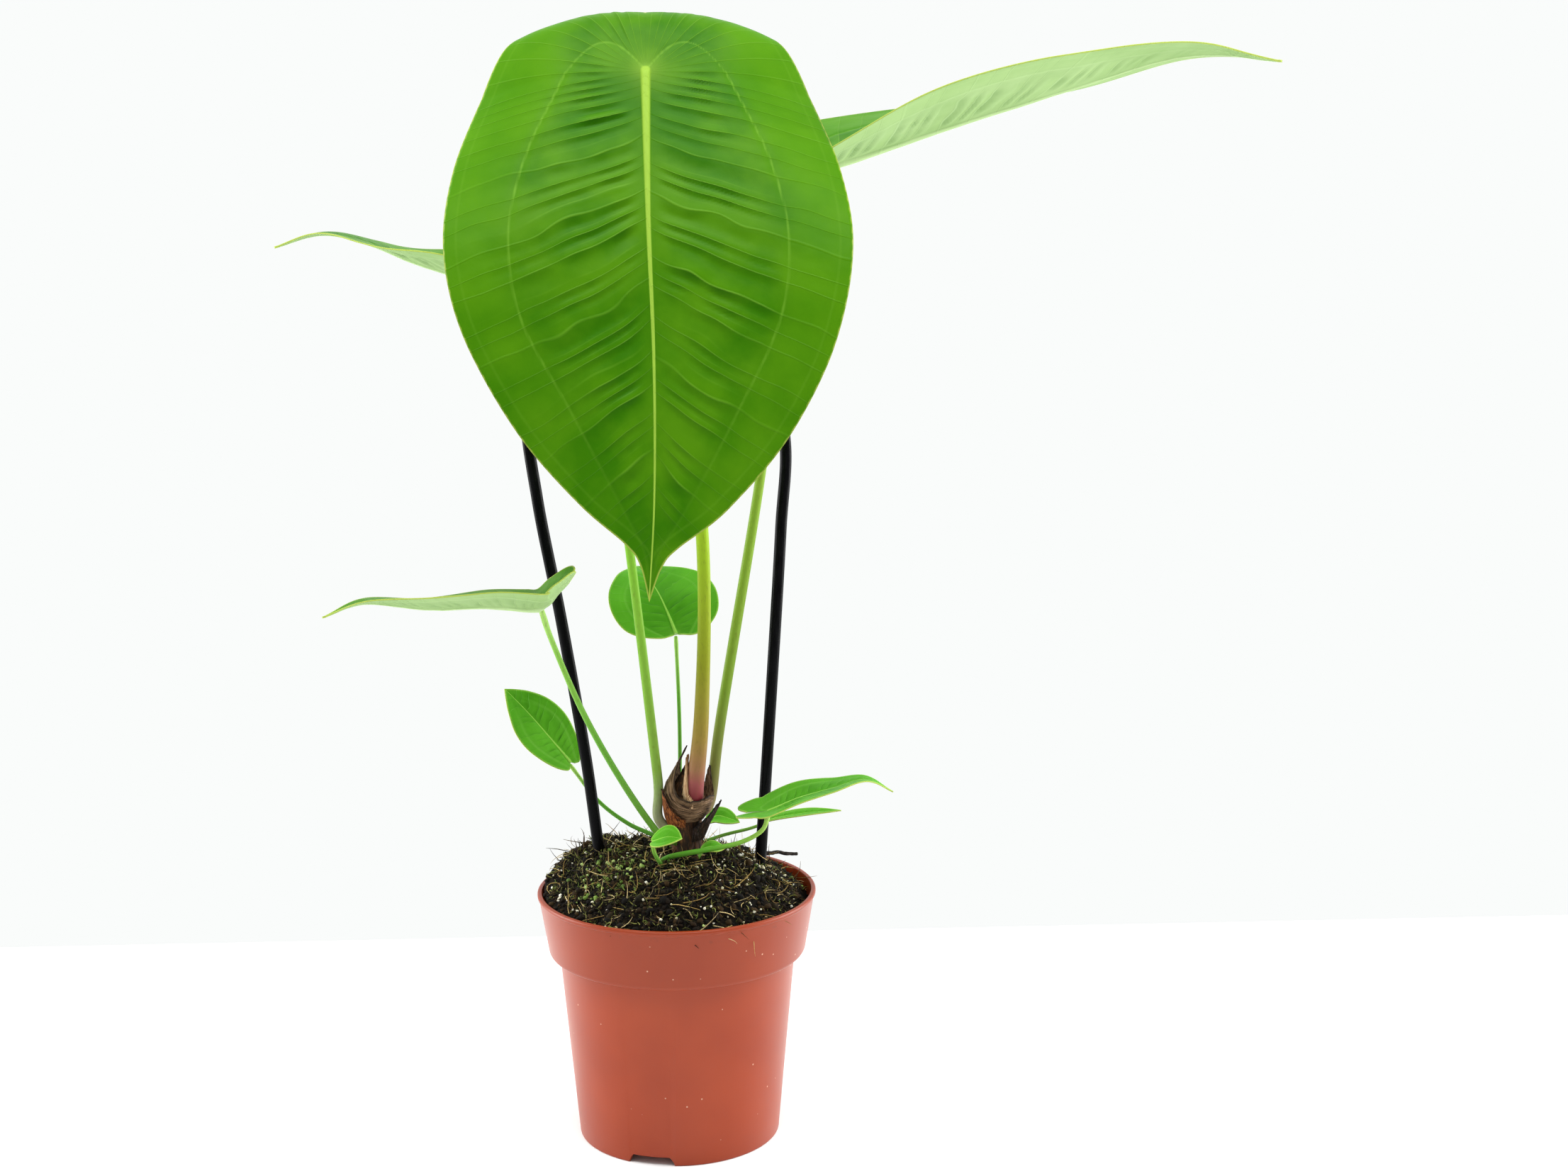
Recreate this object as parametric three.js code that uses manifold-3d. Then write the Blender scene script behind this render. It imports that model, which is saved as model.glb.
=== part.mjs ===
// A potted anthurium: a plant with heart-shaped leaves in a 12 cm plastic nursery pot, held up by a
// wire hoop. Millimetres, +Z up, origin where the middle of the pot's base stands on the ground.
// The plant's front, the side its largest leaf hangs over, faces -Y.
import * as THREE from "three";
import { mergeVertices } from "three/addons/utils/BufferGeometryUtils.js";
import Module from "manifold-3d";

const wasm = await Module();
wasm.setup();

// ---- Driving dimensions ----
const POT_HEIGHT = 108.5;
const RIM_RADIUS = 59.8; // outside of the rolled lip
const COLLAR_BOTTOM = 82; // height at which the collar band starts
const COLLAR_RADIUS = 55.4; // outside of the band at its lower edge
const BODY_TOP_RADIUS = 50.8; // outside of the body just under the band
const BASE_RADIUS = 43.4;
const WALL = 1.2;
const FOOT_HEIGHT = 4; // the floor is raised by this, on the foot ring and the centre pad
const PAD_RADIUS = 8;
const NOTCH_HALF_ANGLE = 12.5; // degrees; three drain notches in the foot ring
const FIRST_NOTCH = -106.6; // degrees from +X
const DRAIN_HOLE_RADIUS = 3.5;
const DRAIN_CIRCLE = 30;
const CUT_DEPTH = 12; // how far the notch and hole cutters reach through the wall
const LIP = 1.6; // height of the bead round the top
const POT_SIDES = 36;

const GAP = 0.35; // left between touching pieces
const SOIL_EDGE_HEIGHT = 106.5; // mean height of the mix where it meets the pot
const SOIL_CROWN = 19; // how far its middle stands above its edge
const MOSS_CLUMP = { x: -36, y: 22, height: 6, spread: 14 }; // a raised clump of moss at the back left
const MIX_RINGS = [1, 0.86, 0.66, 0.44, 0.2]; // radii of the dome's rings / radius at the rim
const MIX_SIDES = 30;

const HOOP_RADIUS = 2.5;
const HOOP_SIDES = 10;
const HOOP_STEPS = 44;
const BLADE_THICKNESS = 0.9;
const SHEATH_THICKNESS = 0.8;
const SAMPLES_PER_SPAN = 40; // of a midrib, between two of its points
const LOBE_SHARE = 0.3; // the share of the margin that belongs to the lobes

// ---- The leaves ----
// An outline is half of a blade's margin, from the sinus behind the stalk to the tip. Each point is
// [along the midrib / midrib length, out from the midrib / half width].
const OUTLINES = {
  broad: [
    [-0.2, 0.03], [-0.28, 0.2], [-0.27, 0.45], [-0.17, 0.655], [0, 0.83], [0.17, 0.955],
    [0.36, 1], [0.53, 0.9], [0.7, 0.66], [0.83, 0.36], [0.9, 0.13], [0.935, 0.055], [1, 0],
  ],
  heart: [
    [-0.17, 0.06], [-0.235, 0.28], [-0.21, 0.55], [-0.09, 0.82], [0.08, 0.98], [0.28, 1],
    [0.48, 0.85], [0.67, 0.57], [0.83, 0.27], [0.92, 0.09], [1, 0],
  ],
  round: [
    [-0.02, 0.06], [-0.05, 0.32], [0, 0.62], [0.14, 0.9], [0.36, 1], [0.57, 0.9],
    [0.76, 0.6], [0.9, 0.28], [1, 0],
  ],
  oval: [
    [-0.04, 0.1], [-0.05, 0.3], [0.05, 0.6], [0.22, 0.86], [0.42, 1], [0.62, 0.9],
    [0.8, 0.58], [0.92, 0.26], [1, 0],
  ],
};

// Each leaf: the midrib's points from the stalk to the tip, and the points that carry it on behind the
// stalk, between the lobes. heading is the compass angle (degrees from +X) that the blade points to.
// fold is how far each half rises from the midrib and roll how far the right-hand half is turned up, both
// in degrees at even steps from base to tip. cup, at the same steps, bends the halves towards the margin.
// stalk is the petiole's path from the stem to the blade, and radius its radii at even steps along it.
const LEAVES = {
  front: {
    outline: "broad", width: 156, heading: -90, fold: [4, 2, 0, 0], roll: [0], cup: [-0.42, -0.12, -0.03, 0],
    midrib: [[-8, -33, 451], [-7.5, -66, 396], [-6, -84, 342], [-6.5, -94, 292], [-9, -98, 252]],
    lobes: [[-8, -8, 474], [-8, 25, 461]],
    stalk: [[7, -6, 146], [11.5, -6, 189], [12.5, -9, 262], [4, -12, 360], [-6, -23, 428], [-8, -32, 449]],
    radius: [3.9, 2.9, 2.7, 2.6, 2.5, 2.4], sides: 8, grid: [18, 4],
  },
  right: {
    outline: "heart", width: 118, heading: 0, fold: [13, 12, 5, 0], roll: [-9, 4, 11, 5], cup: [0],
    midrib: [[55, 25.5, 411], [106, 23, 427], [161, 17, 444], [214, 12, 459], [254, 8, 457]],
    lobes: [[27, 26.5, 405], [7, 27.5, 404]],
    stalk: [[10, 4, 140], [15, 6, 147], [20, 8, 182], [36, 11, 275], [46, 15, 342], [55, 25.5, 409.5]],
    radius: [2.4, 1.8], sides: 8, grid: [18, 4],
  },
  left: {
    outline: "heart", width: 80, heading: 180, fold: [14, 14, 13, 11, 1, 0, 5], roll: [0], cup: [0],
    midrib: [[-34, -2, 365], [-66, 0, 367], [-98, 3, 374.5], [-122, 5, 384], [-141, 6, 388], [-161, 6, 383]],
    lobes: [[-20, -3, 370], [-8, -4, 373]],
    stalk: [
      [-2, -1, 133], [-7.6, -2, 140.5], [-7.3, -2, 153], [-9, -2, 172], [-18, -3, 258], [-26, -4, 321],
      [-34, -3, 363.5],
    ],
    radius: [2.1, 1.9, 1.6], sides: 8, grid: [16, 3],
  },
  lower_left: {
    outline: "heart", width: 60, heading: 190, fold: [14, 10, 8, 0], roll: [-8, -10, -10, 0], cup: [0],
    midrib: [[-54, -21, 236], [-75, -26, 238], [-100, -31, 238.5], [-124, -36, 242], [-141, -38, 237]],
    lobes: [[-46, -19, 242], [-39, -18, 249]],
    stalk: [
      [0, -3, 129.5], [-8, -9, 136], [-23, -12, 160], [-38, -16, 190], [-50, -19, 221], [-54, -21, 234.5],
    ],
    radius: [1.5, 1.1], sides: 6, grid: [14, 3],
  },
  round: {
    outline: "round", width: 49, heading: 100, fold: [5], roll: [0], cup: [0],
    midrib: [[1, 30, 214], [-5, 42, 227], [-11, 54, 235], [-16, 66, 238]],
    lobes: [[3, 22, 209]],
    stalk: [[3, 4, 130], [1, 14, 138], [2, 22, 156], [2, 26, 181], [1, 29.5, 212.5]],
    radius: [0.9, 0.8], sides: 6, grid: [12, 3],
  },
  small_left: {
    outline: "oval", width: 25, heading: 180, fold: [8, 5], roll: [55], cup: [0],
    midrib: [[-46, 30, 157], [-54, 31, 167], [-64, 32, 179], [-74, 32, 190]],
    lobes: [[-42, 29, 152]],
    stalk: [[-2, 9, 121], [-8, 12.5, 127], [-21, 20, 131.5], [-34, 27, 140], [-46, 30, 155.5]],
    radius: [1, 0.8], sides: 6, grid: [11, 2],
  },
  small_right: {
    outline: "heart", width: 25, heading: 0, fold: [12, 10, 5, 0], roll: [-8, -5, 0, 0], cup: [0],
    midrib: [[39, -18, 147], [52, -20, 153], [66, -20, 157], [80, -18, 160], [92, -16, 154]],
    lobes: [[33, -17, 146]],
    stalk: [[-9, -11, 121], [-3, -13, 126], [14, -16, 130], [27, -20, 134], [36, -20, 139], [39, -18, 145.5]],
    radius: [1.2, 0.9], sides: 6, grid: [12, 2],
  },
  under_right: {
    outline: "oval", width: 11, heading: 0, fold: [15, 5], roll: [-15], cup: [0],
    midrib: [[39, 28, 129], [48, 28, 131], [60, 27, 133], [73, 26, 134]],
    lobes: [[34, 28, 128]],
    stalk: [[4, 16, 121], [20, 24, 124], [32, 27, 126], [39, 28, 128]],
    radius: [0.8, 0.7], sides: 6, grid: [9, 2],
  },
  behind_stem: {
    outline: "oval", width: 10, heading: 0, fold: [10, 5], roll: [-30], cup: [0],
    midrib: [[14, 24, 131], [19, 24, 133], [28, 22, 130.5]],
    lobes: [[11, 24, 129]],
    stalk: [[4, 19, 121], [8, 22, 126], [14, 24, 130]],
    radius: [0.7, 0.6], sides: 6, grid: [8, 2],
  },
  tiny_front: {
    outline: "oval", width: 15, heading: -15, fold: [8, 5], roll: [-20], cup: [0],
    midrib: [[-10, -22, 135.5], [-4, -24, 138], [2.5, -26, 138]],
    lobes: [[-14, -21, 134.5]],
    stalk: [[-5.5, -16, 122], [-9, -20, 129.5], [-10, -22, 134.5]],
    radius: [0.9, 0.8], sides: 6, grid: [9, 2],
  },
  tiny_side: {
    outline: "oval", width: 8, heading: 0, fold: [5], roll: [-20], cup: [0],
    midrib: [[11, -9, 128], [15, -9, 129], [21, -8, 128]],
    lobes: [[8, -9, 127.5]],
    stalk: [[7, -10.5, 121], [9.5, -10, 125], [11, -9, 127]],
    radius: [0.7, 0.6], sides: 6, grid: [8, 2],
  },
};

const HOOP_PATH = [
  [-22, 6, 45], [-32, 8, 112], [-38.5, 10, 165], [-48, 14, 225], [-57, 19, 275], [-61, 23, 315],
  [-52, 26, 345], [-25, 28, 361], [12, 28, 358], [39, 26, 337], [48.5, 22, 300], [46.5, 18, 262],
  [43, 13, 210], [36, 8, 112], [30, 6, 45],
];

// The stem leans back to the left as it leaves the mix. Each entry is [x, y, z, radius].
const STEM = [
  [6, 3, 96, 4], [5, 2, 112, 6], [5, 0, 124, 6.3], [4.5, 0, 133, 6.4], [4, 0, 140, 7],
  [4, 0, 147, 8.2], [5, 0, 153, 6.5], [6, 1, 159, 4], [7, 1, 163, 2],
];

// Papery sheaths round the stem. cone is the flaring surface that one lies on, as [z, x, y, radius] going
// up. It covers the compass angles from "from" to "to", from the height base up to its torn top edge,
// whose heights are at even steps between those angles.
const SHEATHS = {
  cataphyll_front: {
    cone: [
      [139, 4.2, 0, 7.4], [143, 4.8, -0.6, 9.3], [148, 5.3, -0.6, 10.6], [152, 5.5, -0.6, 10.5],
      [156, 5.9, -0.3, 9.1], [163, 6.8, 0, 6.3], [171, 8, 0, 2.6],
    ],
    from: 115, to: 355, base: 139.5, top: [157, 166, 171, 164, 154, 150, 150, 151, 149.5],
  },
  cataphyll_collar: {
    cone: [[137, 4, 0, 7.8], [141, 4.6, -0.6, 10], [147, 5.2, -0.6, 11.6], [153, 5.4, -0.6, 11.6]],
    from: 203, to: 268, base: 137.5, top: [154, 151, 146, 143, 141.5],
  },
  cataphyll_flap: {
    cone: [[130, 4.6, 0, 7], [136, 4.8, 0, 8.9], [141, 5, 0, 11.6], [148.5, 5, 0, 16]],
    from: 285, to: 350, base: 130.5, top: [137, 138.5, 141, 144.5, 148.5, 141],
  },
  cataphyll_right: {
    cone: [[146, 15, 6, 3.4], [154, 16, 6.4, 3.3], [162, 17, 6.9, 3.1]],
    from: 175, to: 285, base: 146.5, top: [150, 155, 161.5, 156, 150],
  },
};

const TWIG_SIDES = 6;
const TWIG_STEPS = 6;
const TWIG_RADII = [1.1, 0.7];
const TWIG_PATH = [[30, 12, 114], [39, 14, 118.5], [53, 17, 117]];

const COLOURS = {
  pot: 0xc0603f,
  mix: 0x2b2216,
  hoop: 0x0c0c0d,
  blade: 0x4f9a24,
  petiole: 0x8aa63a,
  stem: 0x7a5a3c,
  sheath: 0xa98562,
  twig: 0x1d1612,
};

// ---- Geometry helpers ----
const rad = THREE.MathUtils.degToRad;
const vectors = (points) => points.map(([x, y, z]) => new THREE.Vector3(x, y, z));

// The value at u (0 to 1) of numbers spread evenly over that range.
function blend(values, u) {
  const at = THREE.MathUtils.clamp(u, 0, 1) * (values.length - 1);
  const low = Math.min(Math.floor(at), values.length - 1);
  const high = Math.min(low + 1, values.length - 1);
  return THREE.MathUtils.lerp(values[low], values[high], at - low);
}

function solidFromGeometry(geometry) {
  const source = geometry.clone();
  source.deleteAttribute("normal");
  source.deleteAttribute("uv");
  const merged = mergeVertices(source, 1e-3);
  return new wasm.Manifold(
    new wasm.Mesh({
      numProp: 3,
      vertProperties: merged.attributes.position.array,
      triVerts: new Uint32Array(merged.index.array),
    }),
  );
}

function geometryFromSolid(solid) {
  const mesh = solid.getMesh();
  const positions = new Float32Array(mesh.numVert * 3);
  for (let i = 0; i < mesh.numVert; i++) {
    const start = i * mesh.numProp;
    positions.set(mesh.vertProperties.subarray(start, start + 3), i * 3);
  }
  const geometry = new THREE.BufferGeometry();
  geometry.setAttribute("position", new THREE.BufferAttribute(positions, 3));
  geometry.setIndex(new THREE.BufferAttribute(new Uint32Array(mesh.triVerts), 1));
  geometry.computeVertexNormals();
  return geometry;
}

const largestPiece = (solid) =>
  solid.decompose().reduce((best, piece) => (piece.volume() > best.volume() ? piece : best));

// A geometry from corner points and triangles, without the triangles that have shrunk to a line.
function geometryFromTriangles(points, triangles) {
  const geometry = new THREE.BufferGeometry().setFromPoints(points);
  geometry.setIndex(triangles.flat());
  const merged = mergeVertices(geometry, 1e-3);
  const kept = [];
  for (let i = 0; i < merged.index.count; i += 3) {
    const [a, b, c] = merged.index.array.slice(i, i + 3);
    if (a !== b && b !== c && c !== a) kept.push(a, b, c);
  }
  merged.setIndex(kept);
  merged.computeVertexNormals();
  return merged;
}

// A closed body through rings of points. Each ring runs anticlockwise seen from the last ring's side.
function skin(rings) {
  const count = rings[0].length;
  const points = rings.flat();
  const triangles = [];
  for (let r = 0; r + 1 < rings.length; r++) {
    for (let i = 0; i < count; i++) {
      const a = r * count + i;
      const b = r * count + ((i + 1) % count);
      triangles.push([a, b, b + count], [a, b + count, a + count]);
    }
  }
  const middle = (ring) =>
    ring.reduce((sum, p) => sum.add(p), new THREE.Vector3()).divideScalar(count);
  const first = points.push(middle(rings[0])) - 1;
  const last = points.push(middle(rings.at(-1))) - 1;
  const top = (rings.length - 1) * count;
  for (let i = 0; i < count; i++) {
    const next = (i + 1) % count;
    triangles.push([first, next, i], [last, top + i, top + next]);
  }
  return geometryFromTriangles(points, triangles);
}

// A round tube along a smooth path, with its radius blended from start to end.
function tube(path, radii, sides, steps, grow = 0) {
  const curve = new THREE.CatmullRomCurve3(vectors(path), false, "catmullrom", 0.5);
  const frames = curve.computeFrenetFrames(steps, false);
  const rings = [];
  for (let k = 0; k <= steps; k++) {
    const centre = curve.getPointAt(k / steps);
    const radius = blend(radii, k / steps) + grow;
    // A grown tube is also longer, so that it clears the ends of the plain one.
    if (k === 0) centre.addScaledVector(frames.tangents[0], -grow);
    if (k === steps) centre.addScaledVector(frames.tangents[steps], grow);
    rings.push(circle(centre, frames.normals[k], frames.binormals[k], radius, sides));
  }
  return skin(rings);
}

function circle(centre, across, up, radius, sides) {
  return Array.from({ length: sides }, (_, i) => {
    const angle = (i / sides) * 2 * Math.PI;
    return centre
      .clone()
      .addScaledVector(across, radius * Math.cos(angle))
      .addScaledVector(up, radius * Math.sin(angle));
  });
}

// A closed body of even thickness round a grid of points: rows of equal length, seen from outside with
// the rows going up and the columns to the right. It may narrow to a point at an end.
function thickSheet(rows, thickness) {
  const wide = rows[0].length;
  const at = (r, c) =>
    rows[THREE.MathUtils.clamp(r, 0, rows.length - 1)][THREE.MathUtils.clamp(c, 0, wide - 1)];
  const normal = (r, c) => {
    const along = at(r + 1, c).clone().sub(at(r - 1, c));
    let across = at(r, c + 1).clone().sub(at(r, c - 1));
    if (across.length() < 1e-6) across = at(r - 1, c + 1).clone().sub(at(r - 1, c - 1));
    return across.cross(along).normalize();
  };
  const place = (r, c, side) => at(r, c).clone().addScaledVector(normal(r, c), (side * thickness) / 2);
  const outer = rows.map((row, r) => row.map((_, c) => place(r, c, 1))).flat();
  const inner = rows.map((row, r) => row.map((_, c) => place(r, c, -1))).flat();
  const size = outer.length;
  const triangles = [];
  const quad = (a, b, c, d) => triangles.push([a, b, c], [a, c, d]);
  for (let r = 0; r + 1 < rows.length; r++) {
    for (let c = 0; c + 1 < wide; c++) {
      const a = r * wide + c;
      quad(a, a + 1, a + wide + 1, a + wide);
      quad(size + a, size + a + wide, size + a + wide + 1, size + a + 1);
    }
  }
  const last = (rows.length - 1) * wide;
  for (let c = 0; c + 1 < wide; c++) {
    quad(c, size + c, size + c + 1, c + 1);
    quad(last + c, last + c + 1, size + last + c + 1, size + last + c);
  }
  for (let r = 0; r + 1 < rows.length; r++) {
    const left = r * wide;
    const right = left + wide - 1;
    quad(left, left + wide, size + left + wide, size + left);
    quad(right, size + right, size + right + wide, right + wide);
  }
  return geometryFromTriangles([...outer, ...inner], triangles);
}

// ---- A leaf blade ----
// The midrib with the distance along it from the stalk, which is negative between the lobes.
function midribOf(leaf) {
  const points = vectors([...leaf.lobes].reverse().concat(leaf.midrib));
  const curve = new THREE.CatmullRomCurve3(points, false, "catmullrom", 0.5);
  const count = SAMPLES_PER_SPAN * (points.length - 1);
  const samples = Array.from({ length: count + 1 }, (_, i) => curve.getPoint(i / count));
  const distances = [0];
  for (let i = 1; i < samples.length; i++) {
    distances.push(distances[i - 1] + samples[i].distanceTo(samples[i - 1]));
  }
  const start = distances[SAMPLES_PER_SPAN * leaf.lobes.length];
  return { samples, distances: distances.map((d) => d - start) };
}

function placeOnMidrib({ samples, distances }, x) {
  let i = distances.findIndex((d) => d > x);
  if (i < 0) i = samples.length - 1;
  i = Math.max(i, 1);
  const share = (x - distances[i - 1]) / (distances[i] - distances[i - 1]);
  const tangent = samples[i].clone().sub(samples[i - 1]).normalize();
  return { point: samples[i - 1].clone().lerp(samples[i], share), tangent };
}

// The point of the blade at x along the midrib and y out from it (positive on the right-hand half).
function bladePoint(leaf, rib, length, x, y) {
  const { point, tangent } = placeOnMidrib(rib, x);
  const heading = rad(leaf.heading);
  const side = new THREE.Vector3(Math.sin(heading), -Math.cos(heading), 0);
  side.addScaledVector(tangent, -side.dot(tangent)).normalize();
  const up = side.clone().cross(tangent);
  const roll = rad(blend(leaf.roll, x / length));
  const fold = rad(blend(leaf.fold, x / length));
  const across = side.clone().multiplyScalar(Math.cos(roll)).addScaledVector(up, Math.sin(roll));
  const away = up.clone().multiplyScalar(Math.cos(roll)).addScaledVector(side, -Math.sin(roll));
  const out = Math.abs(y);
  const rise = out * Math.sin(fold) + (blend(leaf.cup, x / length) * out * out) / (leaf.width / 2);
  return point.addScaledVector(across, y * Math.cos(fold)).addScaledVector(away, rise);
}

function blade(leaf) {
  const rib = midribOf(leaf);
  const length = rib.distances.at(-1);
  const margin = new THREE.CatmullRomCurve3(
    vectors(OUTLINES[leaf.outline].map(([x, y]) => [x, y, 0])),
    false,
    "catmullrom",
    0.5,
  );
  const [steps, across] = leaf.grid;
  const rows = [];
  for (let k = 0; k <= steps; k++) {
    const t = k / steps;
    const edge = margin.getPoint(t);
    const edgeX = edge.x * length;
    const edgeY = (edge.y * leaf.width) / 2;
    // The rows fan out of the stalk over the lobes, then leave the midrib one after another.
    const ribX = Math.max(0, (t - LOBE_SHARE) / (1 - LOBE_SHARE)) * length;
    const row = [];
    for (let s = -across; s <= across; s++) {
      const share = Math.abs(s) / across;
      const x = THREE.MathUtils.lerp(ribX, edgeX, share);
      row.push(bladePoint(leaf, rib, length, x, Math.sign(s) * share * edgeY));
    }
    rows.push(row);
  }
  return thickSheet(rows, BLADE_THICKNESS);
}

// ---- The pot ----
function potBody() {
  const inside = (radius) => radius - WALL;
  const profile = [
    [0, 0], [PAD_RADIUS, 0], [PAD_RADIUS + 1, FOOT_HEIGHT],
    [BASE_RADIUS - 2.2, FOOT_HEIGHT], [BASE_RADIUS - 1.8, 0], [BASE_RADIUS, 0],
    [BODY_TOP_RADIUS, COLLAR_BOTTOM - 1], [BODY_TOP_RADIUS + 1, COLLAR_BOTTOM],
    [COLLAR_RADIUS - 0.6, COLLAR_BOTTOM], [COLLAR_RADIUS, COLLAR_BOTTOM + 1.2],
    [RIM_RADIUS - 0.7, POT_HEIGHT - LIP - 0.4], [RIM_RADIUS, POT_HEIGHT - LIP],
    [RIM_RADIUS, POT_HEIGHT - 0.5], [RIM_RADIUS - 0.5, POT_HEIGHT],
    [RIM_RADIUS - 1.9, POT_HEIGHT], [RIM_RADIUS - 2.1, POT_HEIGHT - 0.8],
    [inside(COLLAR_RADIUS), COLLAR_BOTTOM + 3], [inside(BODY_TOP_RADIUS), COLLAR_BOTTOM - 1],
    [inside(BASE_RADIUS), FOOT_HEIGHT + WALL], [PAD_RADIUS, FOOT_HEIGHT + WALL],
    [PAD_RADIUS - 1, WALL], [0, WALL],
  ];
  const outline = profile.map(([r, z]) => new THREE.Vector2(r, z));
  const lathe = new THREE.LatheGeometry(outline, POT_SIDES).rotateX(Math.PI / 2);
  let body = solidFromGeometry(lathe);
  const notchWidth = 2 * BASE_RADIUS * Math.tan(rad(NOTCH_HALF_ANGLE));
  for (let i = 0; i < 3; i++) {
    const turn = rad(FIRST_NOTCH + 120 * i);
    const cutter = new THREE.BoxGeometry(CUT_DEPTH, notchWidth, 2 * (FOOT_HEIGHT - 0.1))
      .translate(BASE_RADIUS - 1, 0, 0)
      .rotateZ(turn);
    body = body.subtract(solidFromGeometry(cutter));
  }
  for (let i = 0; i < 6; i++) {
    const turn = rad(FIRST_NOTCH + 30 + 60 * i);
    const cutter = new THREE.CylinderGeometry(DRAIN_HOLE_RADIUS, DRAIN_HOLE_RADIUS, CUT_DEPTH, 12)
      .rotateX(Math.PI / 2)
      .translate(DRAIN_CIRCLE * Math.cos(turn), DRAIN_CIRCLE * Math.sin(turn), FOOT_HEIGHT);
    body = body.subtract(solidFromGeometry(cutter));
  }
  return geometryFromSolid(body);
}

// ---- The potting mix ----
// The height of its surface: domed, highest at the back left, lowest at the right edge.
function soilHeight(x, y, edge) {
  const out = Math.hypot(x, y) / edge;
  const dome = SOIL_CROWN * (1 - out ** 2.2);
  const slope = out * out * (4 * (y / edge) - 3.5 * (x / edge));
  const fromClump = Math.hypot(x - MOSS_CLUMP.x, y - MOSS_CLUMP.y) / MOSS_CLUMP.spread;
  return SOIL_EDGE_HEIGHT + dome + slope + MOSS_CLUMP.height * Math.exp(-(fromClump ** 2) / 2);
}

function pottingMix(cutters) {
  const clear = WALL + GAP;
  const flat = [new THREE.Vector3(1, 0, 0), new THREE.Vector3(0, 1, 0)];
  const ring = (radius, height) => circle(new THREE.Vector3(0, 0, height), ...flat, radius, MIX_SIDES);
  const topRadius = RIM_RADIUS - 3.2 - clear;
  const dome = MIX_RINGS.map((share) =>
    ring(topRadius * share, 0).map((p) => p.setZ(soilHeight(p.x, p.y, topRadius))),
  );
  const rings = [
    ring(BASE_RADIUS - clear - 0.3, FOOT_HEIGHT + WALL + GAP),
    ring(BODY_TOP_RADIUS - clear - 0.2, COLLAR_BOTTOM - 1),
    ring(COLLAR_RADIUS - clear - 0.6, COLLAR_BOTTOM + 4.5),
    ...dome,
  ];
  let mix = solidFromGeometry(skin(rings));
  for (const cutter of cutters) mix = mix.subtract(cutter);
  return geometryFromSolid(largestPiece(mix));
}

// ---- The stem and its sheaths ----
function stemBody(grow = 0) {
  const flat = [new THREE.Vector3(1, 0, 0), new THREE.Vector3(0, 1, 0)];
  return skin(
    STEM.map(([x, y, z, radius], i) => {
      const end = i === 0 ? -grow : i === STEM.length - 1 ? grow : 0;
      return circle(new THREE.Vector3(x, y, z + end), ...flat, radius + grow, 16);
    }),
  );
}

function sheath({ cone, from, to, base, top }) {
  const steps = 7;
  const columns = 14;
  // Place i of the cone's entries (x, y or radius) at the height z.
  const along = (z, i) => {
    const above = Math.max(1, cone.findIndex((ring) => ring[0] >= z));
    const [low, high] = [cone[above - 1], cone[above]];
    return THREE.MathUtils.mapLinear(z, low[0], high[0], low[i], high[i]);
  };
  const rows = [];
  for (let k = 0; k <= steps; k++) {
    const row = [];
    for (let c = 0; c <= columns; c++) {
      const angle = rad(THREE.MathUtils.lerp(from, to, c / columns));
      const z = THREE.MathUtils.lerp(base, blend(top, c / columns), k / steps);
      const outwards = new THREE.Vector3(Math.cos(angle), Math.sin(angle), 0);
      row.push(new THREE.Vector3(along(z, 1), along(z, 2), z).addScaledVector(outwards, along(z, 3)));
    }
    rows.push(row);
  }
  return thickSheet(rows, SHEATH_THICKNESS);
}

// ---- The assembly ----
const plant = new THREE.Group();

function add(name, geometry, color, roughness) {
  const material = new THREE.MeshStandardMaterial({ color, roughness, metalness: 0 });
  const mesh = new THREE.Mesh(geometry, material);
  mesh.name = name;
  plant.add(mesh);
}

const petioleSteps = (leaf) => (leaf.sides > 6 ? 16 : 9);
const petiole = (leaf, grow = 0) => tube(leaf.stalk, leaf.radius, leaf.sides, petioleSteps(leaf), grow);
const grownPetioles = Object.values(LEAVES).map((leaf) => solidFromGeometry(petiole(leaf, GAP)));
const grownStem = solidFromGeometry(stemBody(GAP));
const grownHoop = solidFromGeometry(tube(HOOP_PATH, [HOOP_RADIUS], HOOP_SIDES, HOOP_STEPS, GAP));
const grownTwig = solidFromGeometry(tube(TWIG_PATH, TWIG_RADII, TWIG_SIDES, TWIG_STEPS, GAP));

const cut = (geometry, cutters) =>
  geometryFromSolid(
    largestPiece(cutters.reduce((left, cutter) => left.subtract(cutter), solidFromGeometry(geometry))),
  );

add("pot", potBody(), COLOURS.pot, 0.42);
add("potting_mix", pottingMix([grownStem, grownHoop, grownTwig, ...grownPetioles]), COLOURS.mix, 0.95);
add("support_hoop", tube(HOOP_PATH, [HOOP_RADIUS], HOOP_SIDES, HOOP_STEPS), COLOURS.hoop, 0.3);
add("stem", cut(stemBody(), grownPetioles), COLOURS.stem, 0.85);
for (const [name, shape] of Object.entries(SHEATHS)) {
  add(name, cut(sheath(shape), [grownStem, ...grownPetioles]), COLOURS.sheath, 0.8);
}
for (const [name, leaf] of Object.entries(LEAVES)) {
  add(`petiole_${name}`, petiole(leaf), COLOURS.petiole, 0.5);
  add(`leaf_${name}`, cut(blade(leaf), [solidFromGeometry(petiole(leaf, GAP))]), COLOURS.blade, 0.4);
}
add("dry_twig", tube(TWIG_PATH, TWIG_RADII, TWIG_SIDES, TWIG_STEPS), COLOURS.twig, 0.9);

export default plant;
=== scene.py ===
"""A potted anthurium in a 12 cm nursery pot: the finish of every piece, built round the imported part.

Shapes are worked out in millimetres and turned to metres as each mesh is made. The origin is where the
middle of the pot's base stands on the ground, +Z is up, and the side the largest leaf hangs over faces -Y.
"""

import math

import bmesh
import bpy
import numpy as np
from mathutils import Matrix, Vector, noise


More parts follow.
